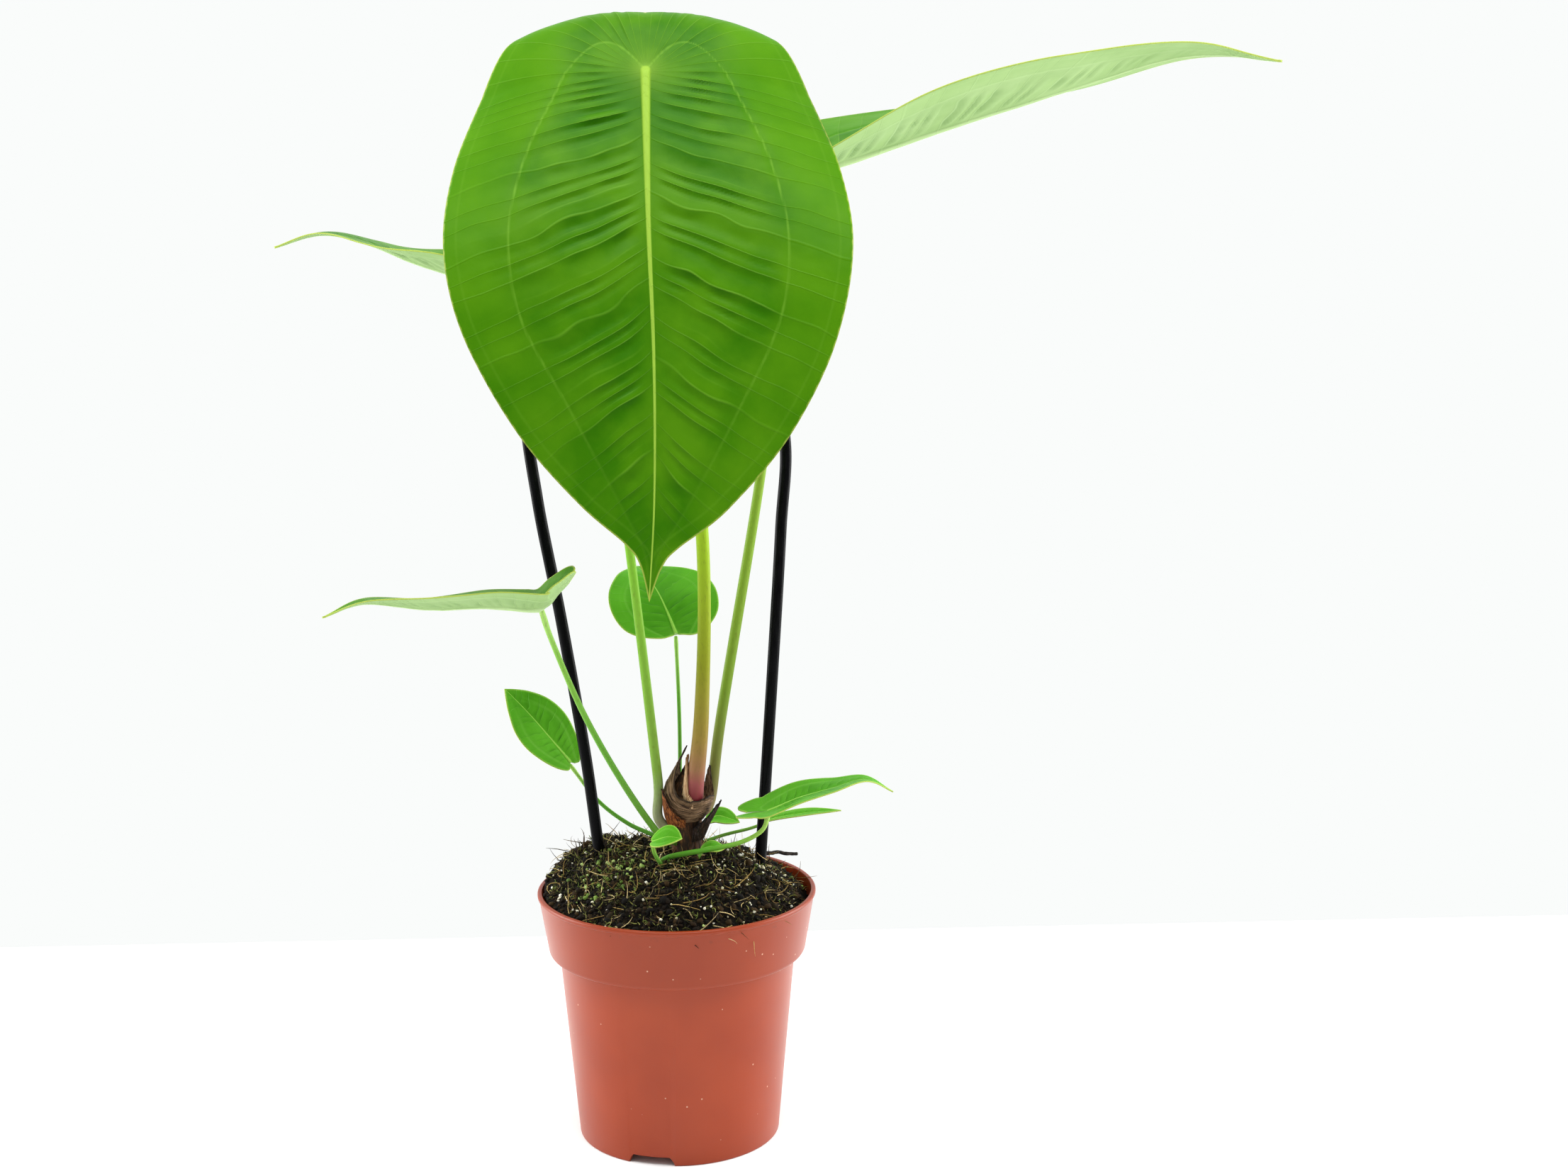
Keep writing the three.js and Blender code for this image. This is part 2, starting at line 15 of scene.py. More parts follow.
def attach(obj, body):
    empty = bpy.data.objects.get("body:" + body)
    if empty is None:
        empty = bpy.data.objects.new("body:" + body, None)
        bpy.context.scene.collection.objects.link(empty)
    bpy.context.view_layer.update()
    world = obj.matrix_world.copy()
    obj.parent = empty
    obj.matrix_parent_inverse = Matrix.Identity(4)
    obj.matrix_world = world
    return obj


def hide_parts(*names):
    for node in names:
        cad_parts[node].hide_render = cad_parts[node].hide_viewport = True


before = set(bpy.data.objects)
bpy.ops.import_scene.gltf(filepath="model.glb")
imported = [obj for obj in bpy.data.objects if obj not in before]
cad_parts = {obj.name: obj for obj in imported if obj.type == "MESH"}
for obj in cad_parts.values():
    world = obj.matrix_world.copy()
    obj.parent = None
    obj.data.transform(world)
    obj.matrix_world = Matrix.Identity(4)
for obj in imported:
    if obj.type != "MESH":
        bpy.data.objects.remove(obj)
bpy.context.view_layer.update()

# ---- Pot ----
# A tapered nursery pot of injection-moulded polypropylene, coloured terracotta all through. One shot makes
# the wall, the collar band that lets pots nest, the thin lip, the raised floor and the notched foot ring.
MM = 0.001  # metres
POT_HEIGHT = 108.5
RIM_RADIUS = 59.8
COLLAR_BOTTOM = 82
COLLAR_RADIUS = 55.4
BODY_TOP_RADIUS = 50.8
BASE_RADIUS = 43.4
WALL = 1.2
LIP = 1.6  # height of the bead round the top
FOOT_HEIGHT = 4
PAD_RADIUS = 8
NOTCH_TOP, NOTCH_BOTTOM = 11.4, 13.4  # half angles of a drain notch, in degrees
FIRST_NOTCH = -106.6
DRAIN_HOLE_RADIUS, DRAIN_CIRCLE = 3.5, 30
POT_SIDES = 240


def linear(hex_colour):
    """An sRGB hex colour as linear red, green, blue and alpha."""
    parts = [int(hex_colour[i : i + 2], 16) / 255 for i in (1, 3, 5)]
    return tuple(p / 12.92 if p <= 0.04045 else ((p + 0.055) / 1.055) ** 2.4 for p in parts) + (1.0,)


def per(size):
    """The texture scale that gives a pattern of this size in millimetres."""
    return 1 / (size * MM)


def add_node(tree, kind, inputs=(), stops=(), **settings):
    """Adds a node with its settings. Each input is a constant or the output that feeds it, and stops are
    the places and colours of a ramp."""
    node = tree.nodes.new("ShaderNode" + kind)
    for name, value in settings.items():
        setattr(node, name, value)
    for key, value in dict(inputs).items():
        if isinstance(value, bpy.types.NodeSocket):
            tree.links.new(value, node.inputs[key])
        else:
            node.inputs[key].default_value = value
    for i, (place, colour) in enumerate(stops):
        if i == 0:
            node.color_ramp.elements.remove(node.color_ramp.elements[1])
        element = node.color_ramp.elements[0] if i == 0 else node.color_ramp.elements.new(place)
        element.position = place
        element.color = linear(colour) if isinstance(colour, str) else (colour, colour, colour, 1)
    return node


def new_material(name, **finish):
    """A material and its node tree. finish holds the shader's constants, such as Roughness."""
    material = bpy.data.materials.new(name)
    material.use_nodes = True
    shader = material.node_tree.nodes["Principled BSDF"]
    for socket, value in finish.items():
        shader.inputs[socket.replace("_", " ")].default_value = value
    return material, material.node_tree


def feed(tree, **sources):
    """Links outputs to the shader's sockets."""
    shader = tree.nodes["Principled BSDF"]
    for socket, source in sources.items():
        tree.links.new(source, shader.inputs[socket.replace("_", " ")])


def grid_faces(rows, columns, closed=False):
    """Quads over rows x columns of points. closed joins the last column to the first."""
    row, column = np.mgrid[0 : rows - 1, 0 : columns if closed else columns - 1]
    a = (row * columns + column).ravel()
    b = (row * columns + (column + 1) % columns).ravel()
    return np.stack([a, b, b + columns, a + columns], 1)


def make_piece(name, points, faces, materials, fields=None, crease=40, sides=None):
    """A mesh piece from points in millimetres. fields are named numbers, one a point, that its materials
    read. sides gives each face the number of its material, and edges sharper than crease stay sharp."""
    mesh = bpy.data.meshes.new(name)
    mesh.from_pydata((np.asarray(points, float) * MM).tolist(), [], np.asarray(faces).tolist())
    for material in materials:
        mesh.materials.append(material)
    if sides is not None:
        mesh.polygons.foreach_set("material_index", sides)
    for field, values in (fields or {}).items():
        attribute = mesh.attributes.new(field, "FLOAT", "POINT")
        attribute.data.foreach_set("value", np.asarray(values, np.float32).ravel())
    shape = bmesh.new()
    shape.from_mesh(mesh)
    bmesh.ops.remove_doubles(shape, verts=shape.verts, dist=0.004 * MM)
    shape.to_mesh(mesh)
    shape.free()
    mesh.shade_smooth()
    mesh.set_sharp_from_angle(angle=math.radians(crease))
    piece = bpy.data.objects.new(name, mesh)
    bpy.context.scene.collection.objects.link(piece)
    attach(piece, "root")
    return piece


def rounded(corners, radius, steps=4):
    """A profile with each inner corner eased into a short curve."""
    corners = [np.array(corner, float) for corner in corners]
    line = [corners[0]]
    for before, corner, after in zip(corners, corners[1:], corners[2:]):
        back, ahead = before - corner, after - corner
        reach = min(radius, 0.45 * np.linalg.norm(back), 0.45 * np.linalg.norm(ahead))
        start = corner + back / np.linalg.norm(back) * reach
        end = corner + ahead / np.linalg.norm(ahead) * reach
        for t in np.linspace(0, 1, steps + 1):
            line.append((1 - t) ** 2 * start + 2 * t * (1 - t) * corner + t * t * end)
    return np.array(line + [corners[-1]])


def pot_profile():
    """Radius and height from the middle of the underside, up the outside and down the inside."""
    lip_foot = RIM_RADIUS - 0.7
    return rounded(
        [
            (0, 0), (PAD_RADIUS, 0), (PAD_RADIUS + 1, FOOT_HEIGHT),
            (BASE_RADIUS - 2.2, FOOT_HEIGHT), (BASE_RADIUS - 1.8, 0), (BASE_RADIUS, 0),
            (BODY_TOP_RADIUS, COLLAR_BOTTOM - 1), (BODY_TOP_RADIUS + 1, COLLAR_BOTTOM),
            (COLLAR_RADIUS - 0.6, COLLAR_BOTTOM), (COLLAR_RADIUS, COLLAR_BOTTOM + 1.2),
            (lip_foot, POT_HEIGHT - LIP - 0.4), (RIM_RADIUS, POT_HEIGHT - LIP),
            (RIM_RADIUS, POT_HEIGHT - 0.5), (RIM_RADIUS - 0.5, POT_HEIGHT),
            (RIM_RADIUS - 1.9, POT_HEIGHT), (RIM_RADIUS - 2.1, POT_HEIGHT - 0.8),
            (COLLAR_RADIUS - WALL, COLLAR_BOTTOM + 3), (BODY_TOP_RADIUS - WALL, COLLAR_BOTTOM - 1),
            (BASE_RADIUS - WALL, FOOT_HEIGHT + WALL), (PAD_RADIUS, FOOT_HEIGHT + WALL),
            (PAD_RADIUS - 1, WALL), (0, WALL),
        ],
        0.7,
    )


def pot_points():
    """The pot's points, ring by ring, with the foot ring lifted at its three notches, and how many rings."""
    angles = np.linspace(-180, 180, POT_SIDES, endpoint=False)
    turn = (angles - FIRST_NOTCH + 60) % 120 - 60
    lift = np.clip((NOTCH_BOTTOM - np.abs(turn)) / (NOTCH_BOTTOM - NOTCH_TOP), 0, 1) * (FOOT_HEIGHT - 0.1)
    profile = pot_profile()
    radius, height = profile[:, :1], np.repeat(profile[:, 1:], POT_SIDES, 1)
    in_foot = (radius > BASE_RADIUS - 3) & (height < FOOT_HEIGHT)
    height = np.where(in_foot, np.maximum(height, lift), height)
    x, y = np.cos(np.radians(angles)), np.sin(np.radians(angles))
    return np.stack([radius * x, radius * y, height], -1).reshape(-1, 3), len(profile)


def drill(piece, holes, radius):
    """Cuts upright round holes at these points right through the piece near its base."""
    shape = bmesh.new()
    for x, y, z in holes:
        place = Matrix.Translation(Vector((x, y, z)) * MM)
        bmesh.ops.create_cone(
            shape, cap_ends=True, segments=40, depth=8 * MM, matrix=place,
            radius1=radius * MM, radius2=radius * MM,
        )
    mesh = bpy.data.meshes.new("drill")
    shape.to_mesh(mesh)
    shape.free()
    cutter = bpy.data.objects.new("drill", mesh)
    bpy.context.scene.collection.objects.link(cutter)
    modifier = piece.modifiers.new("holes", "BOOLEAN")
    modifier.object = cutter
    cut = piece.evaluated_get(bpy.context.evaluated_depsgraph_get())
    piece.data = bpy.data.meshes.new_from_object(cut)
    piece.modifiers.clear()
    bpy.data.objects.remove(cutter)


def moulded_polypropylene():
    """Polypropylene from a lightly etched steel mould: satin, with soft wide reflections at its edges.
    Pale dust and dried splashes of potting mix cling to it."""
    material, tree = new_material("moulded_polypropylene", Roughness=0.34, IOR=1.49, Specular_IOR_Level=0.3)
    place = add_node(tree, "TexCoord").outputs["Object"]
    clouds = add_node(tree, "TexNoise", {"Vector": place, "Scale": per(35), "Detail": 2.0}).outputs["Fac"]
    plastic = add_node(
        tree, "ValToRGB", {"Fac": clouds}, stops=[(0.3, "#8b300e"), (0.7, "#953713")]
    ).outputs["Color"]
    # Painted shade: the collar band is mixed a quarter of the way to a deeper terracotta for the dimmer
    # light on it.
    level = add_node(tree, "SeparateXYZ", {0: place}).outputs["Z"]
    low, high = (COLLAR_BOTTOM - 1) * MM, (COLLAR_BOTTOM + 1) * MM
    band_painted_shade = add_node(
        tree, "MapRange", {"Value": level, "From Min": low, "From Max": high, "To Min": 0.0, "To Max": 0.25}
    ).outputs[0]
    plastic = add_node(
        tree, "Mix", {"Factor": band_painted_shade, "A": plastic, "B": linear("#702403")}, data_type="RGBA"
    ).outputs["Result"]
    # Specks of dust about 0.7 mm across, in some of the cells of a 5 mm pattern.
    cells = add_node(tree, "TexVoronoi", {"Vector": place, "Scale": per(5), "Randomness": 1.0})
    rare = add_node(tree, "Math", {0: cells.outputs["Color"], 1: 0.62}, operation="GREATER_THAN").outputs[0]
    away = cells.outputs["Distance"]
    near = add_node(
        tree, "MapRange", {"Value": away, "From Min": 0.05, "From Max": 0.09, "To Min": 1.0, "To Max": 0.0}
    ).outputs[0]
    dust = add_node(tree, "Math", {0: rare, 1: near}, operation="MULTIPLY").outputs[0]
    dusty = add_node(
        tree, "Mix", {"Factor": dust, "A": plastic, "B": linear("#c49a82")}, data_type="RGBA"
    ).outputs["Result"]
    grime = add_node(tree, "TexNoise", {"Vector": place, "Scale": per(3.5), "Detail": 6.0}).outputs["Fac"]
    low, high = 100 * MM, POT_HEIGHT * MM
    near_lip = add_node(
        tree, "MapRange", {"Value": level, "From Min": low, "From Max": high, "To Min": 0.0, "To Max": 0.5}
    ).outputs[0]
    splashed = add_node(tree, "MapRange", {"Value": grime, "From Min": 0.62, "From Max": 0.72}).outputs[0]
    soiled = add_node(tree, "Math", {0: near_lip, 1: splashed}, operation="MULTIPLY").outputs[0]
    colour = add_node(
        tree, "Mix", {"Factor": soiled, "A": dusty, "B": linear("#3a2416")}, data_type="RGBA"
    ).outputs["Result"]
    etch = add_node(tree, "TexNoise", {"Vector": place, "Scale": per(0.5), "Detail": 2.0}).outputs["Fac"]
    bump = add_node(tree, "Bump", {"Strength": 0.12, "Distance": 0.05 * MM, "Height": etch}).outputs[0]
    feed(tree, Base_Color=colour, Normal=bump)
    return material


points, rows = pot_points()
pot = make_piece("pot_shell", points, grid_faces(rows, POT_SIDES, closed=True), [moulded_polypropylene()])
turns = [math.radians(FIRST_NOTCH + 30 + 60 * i) for i in range(6)]
holes = [(DRAIN_CIRCLE * math.cos(turn), DRAIN_CIRCLE * math.sin(turn), FOOT_HEIGHT) for turn in turns]
drill(pot, holes, DRAIN_HOLE_RADIUS)
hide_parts("pot")

# ---- Potting mix ----
# The root ball: dark peat bound by roots, crowned above the rim, with moss grown over it. Loose crumbs,
# grains of perlite, strands of moss and dry root fibres lie on top, each kind made as one piece.
SOIL_EDGE_HEIGHT = 106.5
SOIL_CROWN = 19
SOIL_RADIUS = RIM_RADIUS - 2.1 - WALL + 0.3
MOSS_CLUMP = (-36, 22, 6, 14)  # x, y, height and spread of a raised clump at the back left
rng = np.random.default_rng(7)


def lumps(points, size, octaves=3):
    """Smooth random numbers, about -1 to 1, whose bumps are this many millimetres across."""
    return np.array([noise.fractal(Vector(p) / size, 1.0, 2.0, octaves) for p in points.tolist()])


def soil_height(x, y):
    """The smooth height of the mix: domed, highest at the back left, lowest at the right edge."""
    out = np.hypot(x, y) / SOIL_RADIUS
    slope = out**2 * (4 * y - 3.5 * x) / SOIL_RADIUS
    clump = np.hypot(x - MOSS_CLUMP[0], y - MOSS_CLUMP[1]) / MOSS_CLUMP[3]
    return SOIL_EDGE_HEIGHT + SOIL_CROWN * (1 - out**2.2) + slope + MOSS_CLUMP[2] * np.exp(-(clump**2) / 2)


def rough_soil(x, y):
    """Points on the mix with its lumps and hollows."""
    flat = np.stack([x, y, np.zeros_like(x)], -1)
    rise = 1.3 * lumps(flat, 9) + 0.7 * lumps(flat + 40, 3.2, 4)
    edge = np.clip((SOIL_RADIUS - np.hypot(x, y)) / 4, 0, 1)
    return np.stack([x, y, soil_height(x, y) + rise * (0.35 + 0.65 * edge) - 1], -1)


def peat():
    """Damp peat: near black, matt and crumbly, with brown and mossy patches."""
    material, tree = new_material("damp_peat", Roughness=0.95, IOR=1.4, Specular_IOR_Level=0.15)
    place = add_node(tree, "TexCoord").outputs["Object"]
    grain = add_node(tree, "TexNoise", {"Vector": place, "Scale": per(1.6), "Detail": 6.0}).outputs["Fac"]
    colour = add_node(
        tree, "ValToRGB", {"Fac": grain},
        stops=[(0.35, "#040302"), (0.5, "#0c0805"), (0.62, "#191209"), (0.75, "#2c2714")],
    ).outputs["Color"]
    bump = add_node(tree, "Bump", {"Strength": 1.0, "Distance": 0.6 * MM, "Height": grain}).outputs[0]
    feed(tree, Base_Color=colour, Normal=bump)
    return material


def soil_ball():
    """The mix as one closed body: the rough top, and smooth sides down to the floor of the pot."""
    columns = 200
    angle = np.linspace(0, 2 * np.pi, columns, endpoint=False)
    rings = [
        (0, FOOT_HEIGHT + WALL + 0.4), (BASE_RADIUS - WALL - 0.7, FOOT_HEIGHT + WALL + 0.4),
        (BODY_TOP_RADIUS - WALL - 0.6, COLLAR_BOTTOM - 1), (COLLAR_RADIUS - WALL - 0.6, COLLAR_BOTTOM + 4.5),
    ]
    points = [np.stack([r * np.cos(angle), r * np.sin(angle), np.full(columns, z)], -1) for r, z in rings]
    for radius in np.linspace(SOIL_RADIUS, 0, 66):
        points.append(rough_soil(radius * np.cos(angle), radius * np.sin(angle)))
    return np.concatenate(points), grid_faces(len(points), columns, closed=True)


def grain_shape():
    """Corners and faces of a small icosahedron, which is then squashed and bent into a grain."""
    shape = bmesh.new()
    bmesh.ops.create_icosphere(shape, subdivisions=1, radius=1)
    corners = np.array([v.co for v in shape.verts])
    faces = np.array([[v.index for v in f.verts] for f in shape.faces])
    shape.free()
    return corners, faces


def grains(places, sizes, roughness):
    """Angular grains at these places as one mesh, and a random number for each point's grain."""
    corners, faces = grain_shape()
    points, quads, tints = [], [], []
    for i, (place, size) in enumerate(zip(places, sizes)):
        turn = np.linalg.qr(rng.normal(size=(3, 3)))[0]
        shape = corners * rng.uniform(1 - roughness, 1 + roughness, corners.shape)
        shape = (shape * rng.uniform(0.6, 1.2, 3)) @ turn.T
        points.append(place + shape * size / 2)
        quads.append(faces + i * len(corners))
        tints.append(np.full(len(corners), rng.uniform()))
    return np.concatenate(points), np.concatenate(quads), np.concatenate(tints)


def scatter(count, edge=2.0, centre=None, spread=None):
    """Random places over the mix, or in clusters round a centre, at least edge from its rim."""
    if centre is None:
        radius = (SOIL_RADIUS - edge) * np.sqrt(rng.uniform(0, 1, count))
        angle = rng.uniform(0, 2 * np.pi, count)
        return rough_soil(radius * np.cos(angle), radius * np.sin(angle))
    x = rng.normal(centre[0], spread, count)
    y = rng.normal(centre[1], spread, count)
    keep = np.hypot(x, y) < SOIL_RADIUS - edge
    return rough_soil(x[keep], y[keep])


def tinted(name, tones, rough):
    """A matt material whose tone each grain or strand picks by its own random number."""
    material, tree = new_material(name, Roughness=rough, Specular_IOR_Level=0.2)
    tint = add_node(tree, "Attribute", attribute_name="tint").outputs["Fac"]
    place = add_node(tree, "TexCoord").outputs["Object"]
    mottle = add_node(tree, "TexNoise", {"Vector": place, "Scale": per(0.9), "Detail": 3.0}).outputs["Fac"]
    mixed = add_node(tree, "Math", {0: mottle, 1: 0.35, 2: tint}, operation="MULTIPLY_ADD").outputs[0]
    shifted = add_node(tree, "Math", {0: mixed, 1: 0.17}, operation="SUBTRACT").outputs[0]
    stops = [(i / (len(tones) - 1), tone) for i, tone in enumerate(tones)]
    colour = add_node(tree, "ValToRGB", {"Fac": shifted}, stops=stops).outputs["Color"]
    bump = add_node(tree, "Bump", {"Strength": 0.5, "Distance": 0.15 * MM, "Height": mottle}).outputs[0]
    feed(tree, Base_Color=colour, Normal=bump)
    return material


def strands(starts, lengths, thickness, curl, rise, sides=4, steps=7):
    """Thin curling fibres that start at these places as one mesh, and a random number for each point's
    fibre. rise is the range of angles that they set out at."""
    points, faces, tints = [], [], []
    ring = np.linspace(0, 2 * np.pi, sides, endpoint=False)
    patch = grid_faces(steps + 1, sides, closed=True)
    for i, (start, length) in enumerate(zip(starts, lengths)):
        heading = rng.uniform(0, 2 * np.pi)
        climb = rng.uniform(*rise)
        bend, lift = rng.normal(0, curl, 2)
        place = np.array(start, float)
        rows = []
        for k in range(steps + 1):
            level = math.cos(climb)
            ahead = np.array([math.cos(heading) * level, math.sin(heading) * level, math.sin(climb)])
            side = np.array([-math.sin(heading), math.cos(heading), 0.0])
            up = np.cross(ahead, side)
            radius = thickness[i] / 2 * (1 - 0.75 * (k / steps) ** 3)
            rows.append(place + radius * (np.cos(ring)[:, None] * side + np.sin(ring)[:, None] * up))
            place = place + ahead * length / steps
            heading += bend / steps + rng.normal(0, curl / steps)
            climb += (lift - 0.8 * climb) / steps
        points.append(np.concatenate(rows))
        faces.append(patch + i * len(points[-1]))
        tints.append(np.full(len(points[-1]), rng.uniform()))
    return np.concatenate(points), np.concatenate(faces), np.concatenate(tints)


ball_points, ball_faces = soil_ball()
root_ball = make_piece("root_ball", ball_points, ball_faces, [peat()], crease=180)
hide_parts("potting_mix")

# Crumbs of peat, mostly 1 to 2 mm: matt and near black, a few of them brown.
places = scatter(4200, edge=0.6)
points, faces, tint = grains(places, rng.gamma(3.0, 0.42, len(places)) + 0.4, 0.35)
peat_crumb = tinted("peat_crumb", ["#030201", "#080503", "#120c06", "#1c130a", "#3a2a15", "#14140a"], 0.95)
crumbs = make_piece("peat_crumbs", points, faces, [peat_crumb], {"tint": tint}, 180)

# Expanded perlite: white angular grains, gathered near the right leg of the hoop.
places = np.concatenate([scatter(230), scatter(60, centre=(34, 4), spread=8)])
points, faces, tint = grains(places + (0, 0, 0.4), rng.uniform(0.6, 1.9, len(places)), 0.25)
expanded_perlite = tinted("expanded_perlite", ["#8f8667", "#c9c1a0", "#e6e1cb", "#f3f0e4"], 0.85)
perlite = make_piece("perlite_grains", points, faces, [expanded_perlite], {"tint": tint}, 20)

# Dry moss: short curled strands, olive and straw-coloured, thickest at the front left.
places = np.concatenate([scatter(1900), scatter(800, centre=(-24, -8), spread=18)])
reach = rng.uniform(1.6, 4.4, len(places))
thickness = rng.uniform(0.35, 0.75, len(places))
points, faces, tint = strands(places, reach, thickness, 1.6, (0.0, 0.8), 3, 4)
dry_moss = tinted("dry_moss", ["#090a03", "#131406", "#24250e", "#45461f", "#807c44", "#5c6e2c"], 0.9)
moss = make_piece("moss_strands", points, faces, [dry_moss], {"tint": tint}, 180)

# Dry root fibres: long, thin and pale, lying loose on top.
places = scatter(640) + (0, 0, 0.5)
reach = rng.uniform(4, 15, len(places))
thickness = rng.uniform(0.22, 0.5, len(places))
points, faces, tint = strands(places, reach, thickness, 1.4, (-0.15, 0.4), 4, 9)
dry_fibre = tinted("dry_fibre", ["#100a05", "#2a1c0b", "#5c4522", "#a08448", "#d8c28c", "#30230f"], 0.8)
fibres = make_piece("root_fibres", points, faces, [dry_fibre], {"tint": tint}, 180)

# Living moss: soft pale-green tufts 1 to 3 mm across.
places = np.concatenate([scatter(26), scatter(70, centre=(-27, -14), spread=9)]) + (0, 0, 0.5)
points, faces, tint = grains(places, rng.uniform(1.2, 2.6, len(places)), 0.2)
living_moss = tinted("living_moss", ["#3e5420", "#5f7a2e", "#86a04a", "#b4c67c"], 0.7)
plantlets = make_piece("moss_plantlets", points, faces, [living_moss], {"tint": tint}, 180)

# ---- Support hoop ----
# One length of steel wire with a black polyethylene coat, bent to an arch over a former. Both legs are
# pushed into the mix, and the stalks would be tied to it.
HOOP_RADIUS = 2.5
HOOP_PATH = [
    (-22, 6, 45), (-32, 8, 112), (-38.5, 10, 165), (-48, 14, 225), (-57, 19, 275), (-61, 23, 315),
    (-52, 26, 345), (-25, 28, 361), (12, 28, 358), (39, 26, 337), (48.5, 22, 300), (46.5, 18, 262),
    (43, 13, 210), (36, 8, 112), (30, 6, 45),
]


def smooth_path(points, steps):
    """Points along a smooth curve through the given ones, steps to each span."""
    p = np.array(points, float)
    p = np.concatenate([[2 * p[0] - p[1]], p, [2 * p[-1] - p[-2]]])
    t = (np.arange(steps) / steps).reshape(-1, *[1] * (p.ndim - 1))
    line = []
    for a, b, c, d in zip(p, p[1:], p[2:], p[3:]):
        line.append(b + t / 2 * (c - a + t * (2 * a - 5 * b + 4 * c - d + t * (3 * (b - c) + d - a))))
    return np.concatenate(line + [p[-2:-1]])


def unit(vectors):
    """The vectors, each made one unit long."""
    return vectors / np.maximum(np.linalg.norm(vectors, axis=-1, keepdims=True), 1e-12)


def lengths_along(line):
    """How far along a line of points each point lies."""
    return np.concatenate([[0], np.cumsum(np.linalg.norm(np.diff(line, axis=0), axis=1))])


def sweep(line, radii, sides, end_rounding=0.6):
    """A closed round body along a line: its points, its faces and each point's share of the length."""
    ahead = unit(np.gradient(line, axis=0))
    across = unit(np.cross(ahead[0], (0.3, 1.0, 0.1)))
    share = lengths_along(line) / lengths_along(line)[-1]
    turn = np.linspace(0, 2 * np.pi, sides, endpoint=False)[:, None]
    rings, shares = [], []
    for i, (centre, direction, radius) in enumerate(zip(line, ahead, radii)):
        across = unit(across - direction * (across @ direction))
        up = np.cross(direction, across)
        ring = radius * (np.cos(turn) * across + np.sin(turn) * up)
        if i == 0:
            for scale in (0.0, 0.6, 0.9):
                bulge = direction * radius * end_rounding * (1 - scale**2) ** 0.5
                rings.append(centre + ring * scale - bulge)
                shares.append(np.zeros(sides))
        rings.append(centre + ring)
        shares.append(np.full(sides, share[i]))
        if i == len(line) - 1:
            for scale in (0.9, 0.6, 0.0):
                bulge = direction * radius * end_rounding * (1 - scale**2) ** 0.5
                rings.append(centre + ring * scale + bulge)
                shares.append(np.ones(sides))
    faces = grid_faces(len(rings), sides, closed=True)
    return np.concatenate(rings), faces, np.concatenate(shares)


def coated_wire():
    """Extruded polyethylene over wire: black and glossy, with faint drag lines and rub marks."""
    material, tree = new_material("black_polyethylene", Roughness=0.24, IOR=1.51, Specular_IOR_Level=0.05)
    place = add_node(tree, "TexCoord").outputs["Object"]
    stretched = add_node(tree, "Mapping", {"Vector": place, "Scale": (1.0, 1.0, 0.12)}).outputs[0]
    drag = add_node(tree, "TexNoise", {"Vector": stretched, "Scale": per(1.2), "Detail": 4.0}).outputs["Fac"]
    black = [(0.35, "#040405"), (0.75, "#0b0b0d")]
    colour = add_node(tree, "ValToRGB", {"Fac": drag}, stops=black).outputs["Color"]
    rough = add_node(
        tree, "MapRange", {"Value": drag, "From Min": 0.3, "From Max": 0.8, "To Min": 0.2, "To Max": 0.42}
    )
    bump = add_node(tree, "Bump", {"Strength": 0.3, "Distance": 0.06 * MM, "Height": drag}).outputs[0]
    feed(tree, Base_Color=colour, Roughness=rough.outputs[0], Normal=bump)
    return material


line = smooth_path(HOOP_PATH, 18)
points, faces, _ = sweep(line, np.full(len(line), HOOP_RADIUS), 28)
hoop = make_piece("wire_hoop", points, faces, [coated_wire()], crease=60)
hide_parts("support_hoop")

# ---- Stem ----
# The short woody stem, thick where the stalks leave it and narrower at its foot. Fibres of old sheaths and
# dead roots cover it, so its surface is dark, ridged along its length and frayed.
STEM = [
    (6, 3, 96, 4), (5, 2, 112, 6), (5, 0, 124, 6.3), (4.5, 0, 133, 6.4), (4, 0, 140, 7),
    (4, 0, 147, 8.2), (5, 0, 153, 6.5), (6, 1, 159, 4), (7, 1, 163, 2),
]  # x, y, z and radius, going up
STEM_SIDES = 72


def ridged(points, depth, size):
    """How far a fibrous surface stands out at each point: ridges that run upwards."""
    squeezed = points * (1, 1, 0.22)
    return depth * (lumps(squeezed, size, 3) + 0.5 * lumps(squeezed + 90, size / 3, 2))


def fibrous_bark():
    """Old corky stem wrapped in dead fibres: matt, dark brown with tan ridges."""
    material, tree = new_material("fibrous_bark", Roughness=0.9, IOR=1.45)
    place = add_node(tree, "TexCoord").outputs["Object"]
    upright = add_node(tree, "Mapping", {"Vector": place, "Scale": (1.0, 1.0, 0.25)}).outputs[0]
    grain = add_node(
        tree, "TexNoise", {"Vector": upright, "Scale": per(1.8), "Detail": 7.0, "Roughness": 0.7}
    ).outputs["Fac"]
    colour = add_node(
        tree, "ValToRGB", {"Fac": grain},
        stops=[(0.32, "#150d08"), (0.48, "#33200f"), (0.6, "#5f3a1e"), (0.75, "#a5814f")],
    ).outputs["Color"]
    bump = add_node(tree, "Bump", {"Strength": 1.0, "Distance": 0.7 * MM, "Height": grain}).outputs[0]
    feed(tree, Base_Color=colour, Normal=bump)
    return material


profile = smooth_path(STEM, 9)
turn = np.linspace(0, 2 * np.pi, STEM_SIDES, endpoint=False)
outwards = np.stack([np.cos(turn), np.sin(turn), np.zeros_like(turn)], -1)
rings = np.array([centre[:3] + centre[3] * outwards for centre in profile])
spread = np.tile(outwards, (len(profile), 1))
points = rings.reshape(-1, 3)
points = points + spread * ridged(points, 0.7, 3.0)[:, None]
foot, top = (np.tile(profile[end, :3], (STEM_SIDES, 1)) for end in (0, -1))
faces = grid_faces(len(profile) + 2, STEM_SIDES, closed=True)
stem = make_piece("woody_stem", np.concatenate([foot, points, top]), faces, [fibrous_bark()], crease=180)
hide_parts("stem")

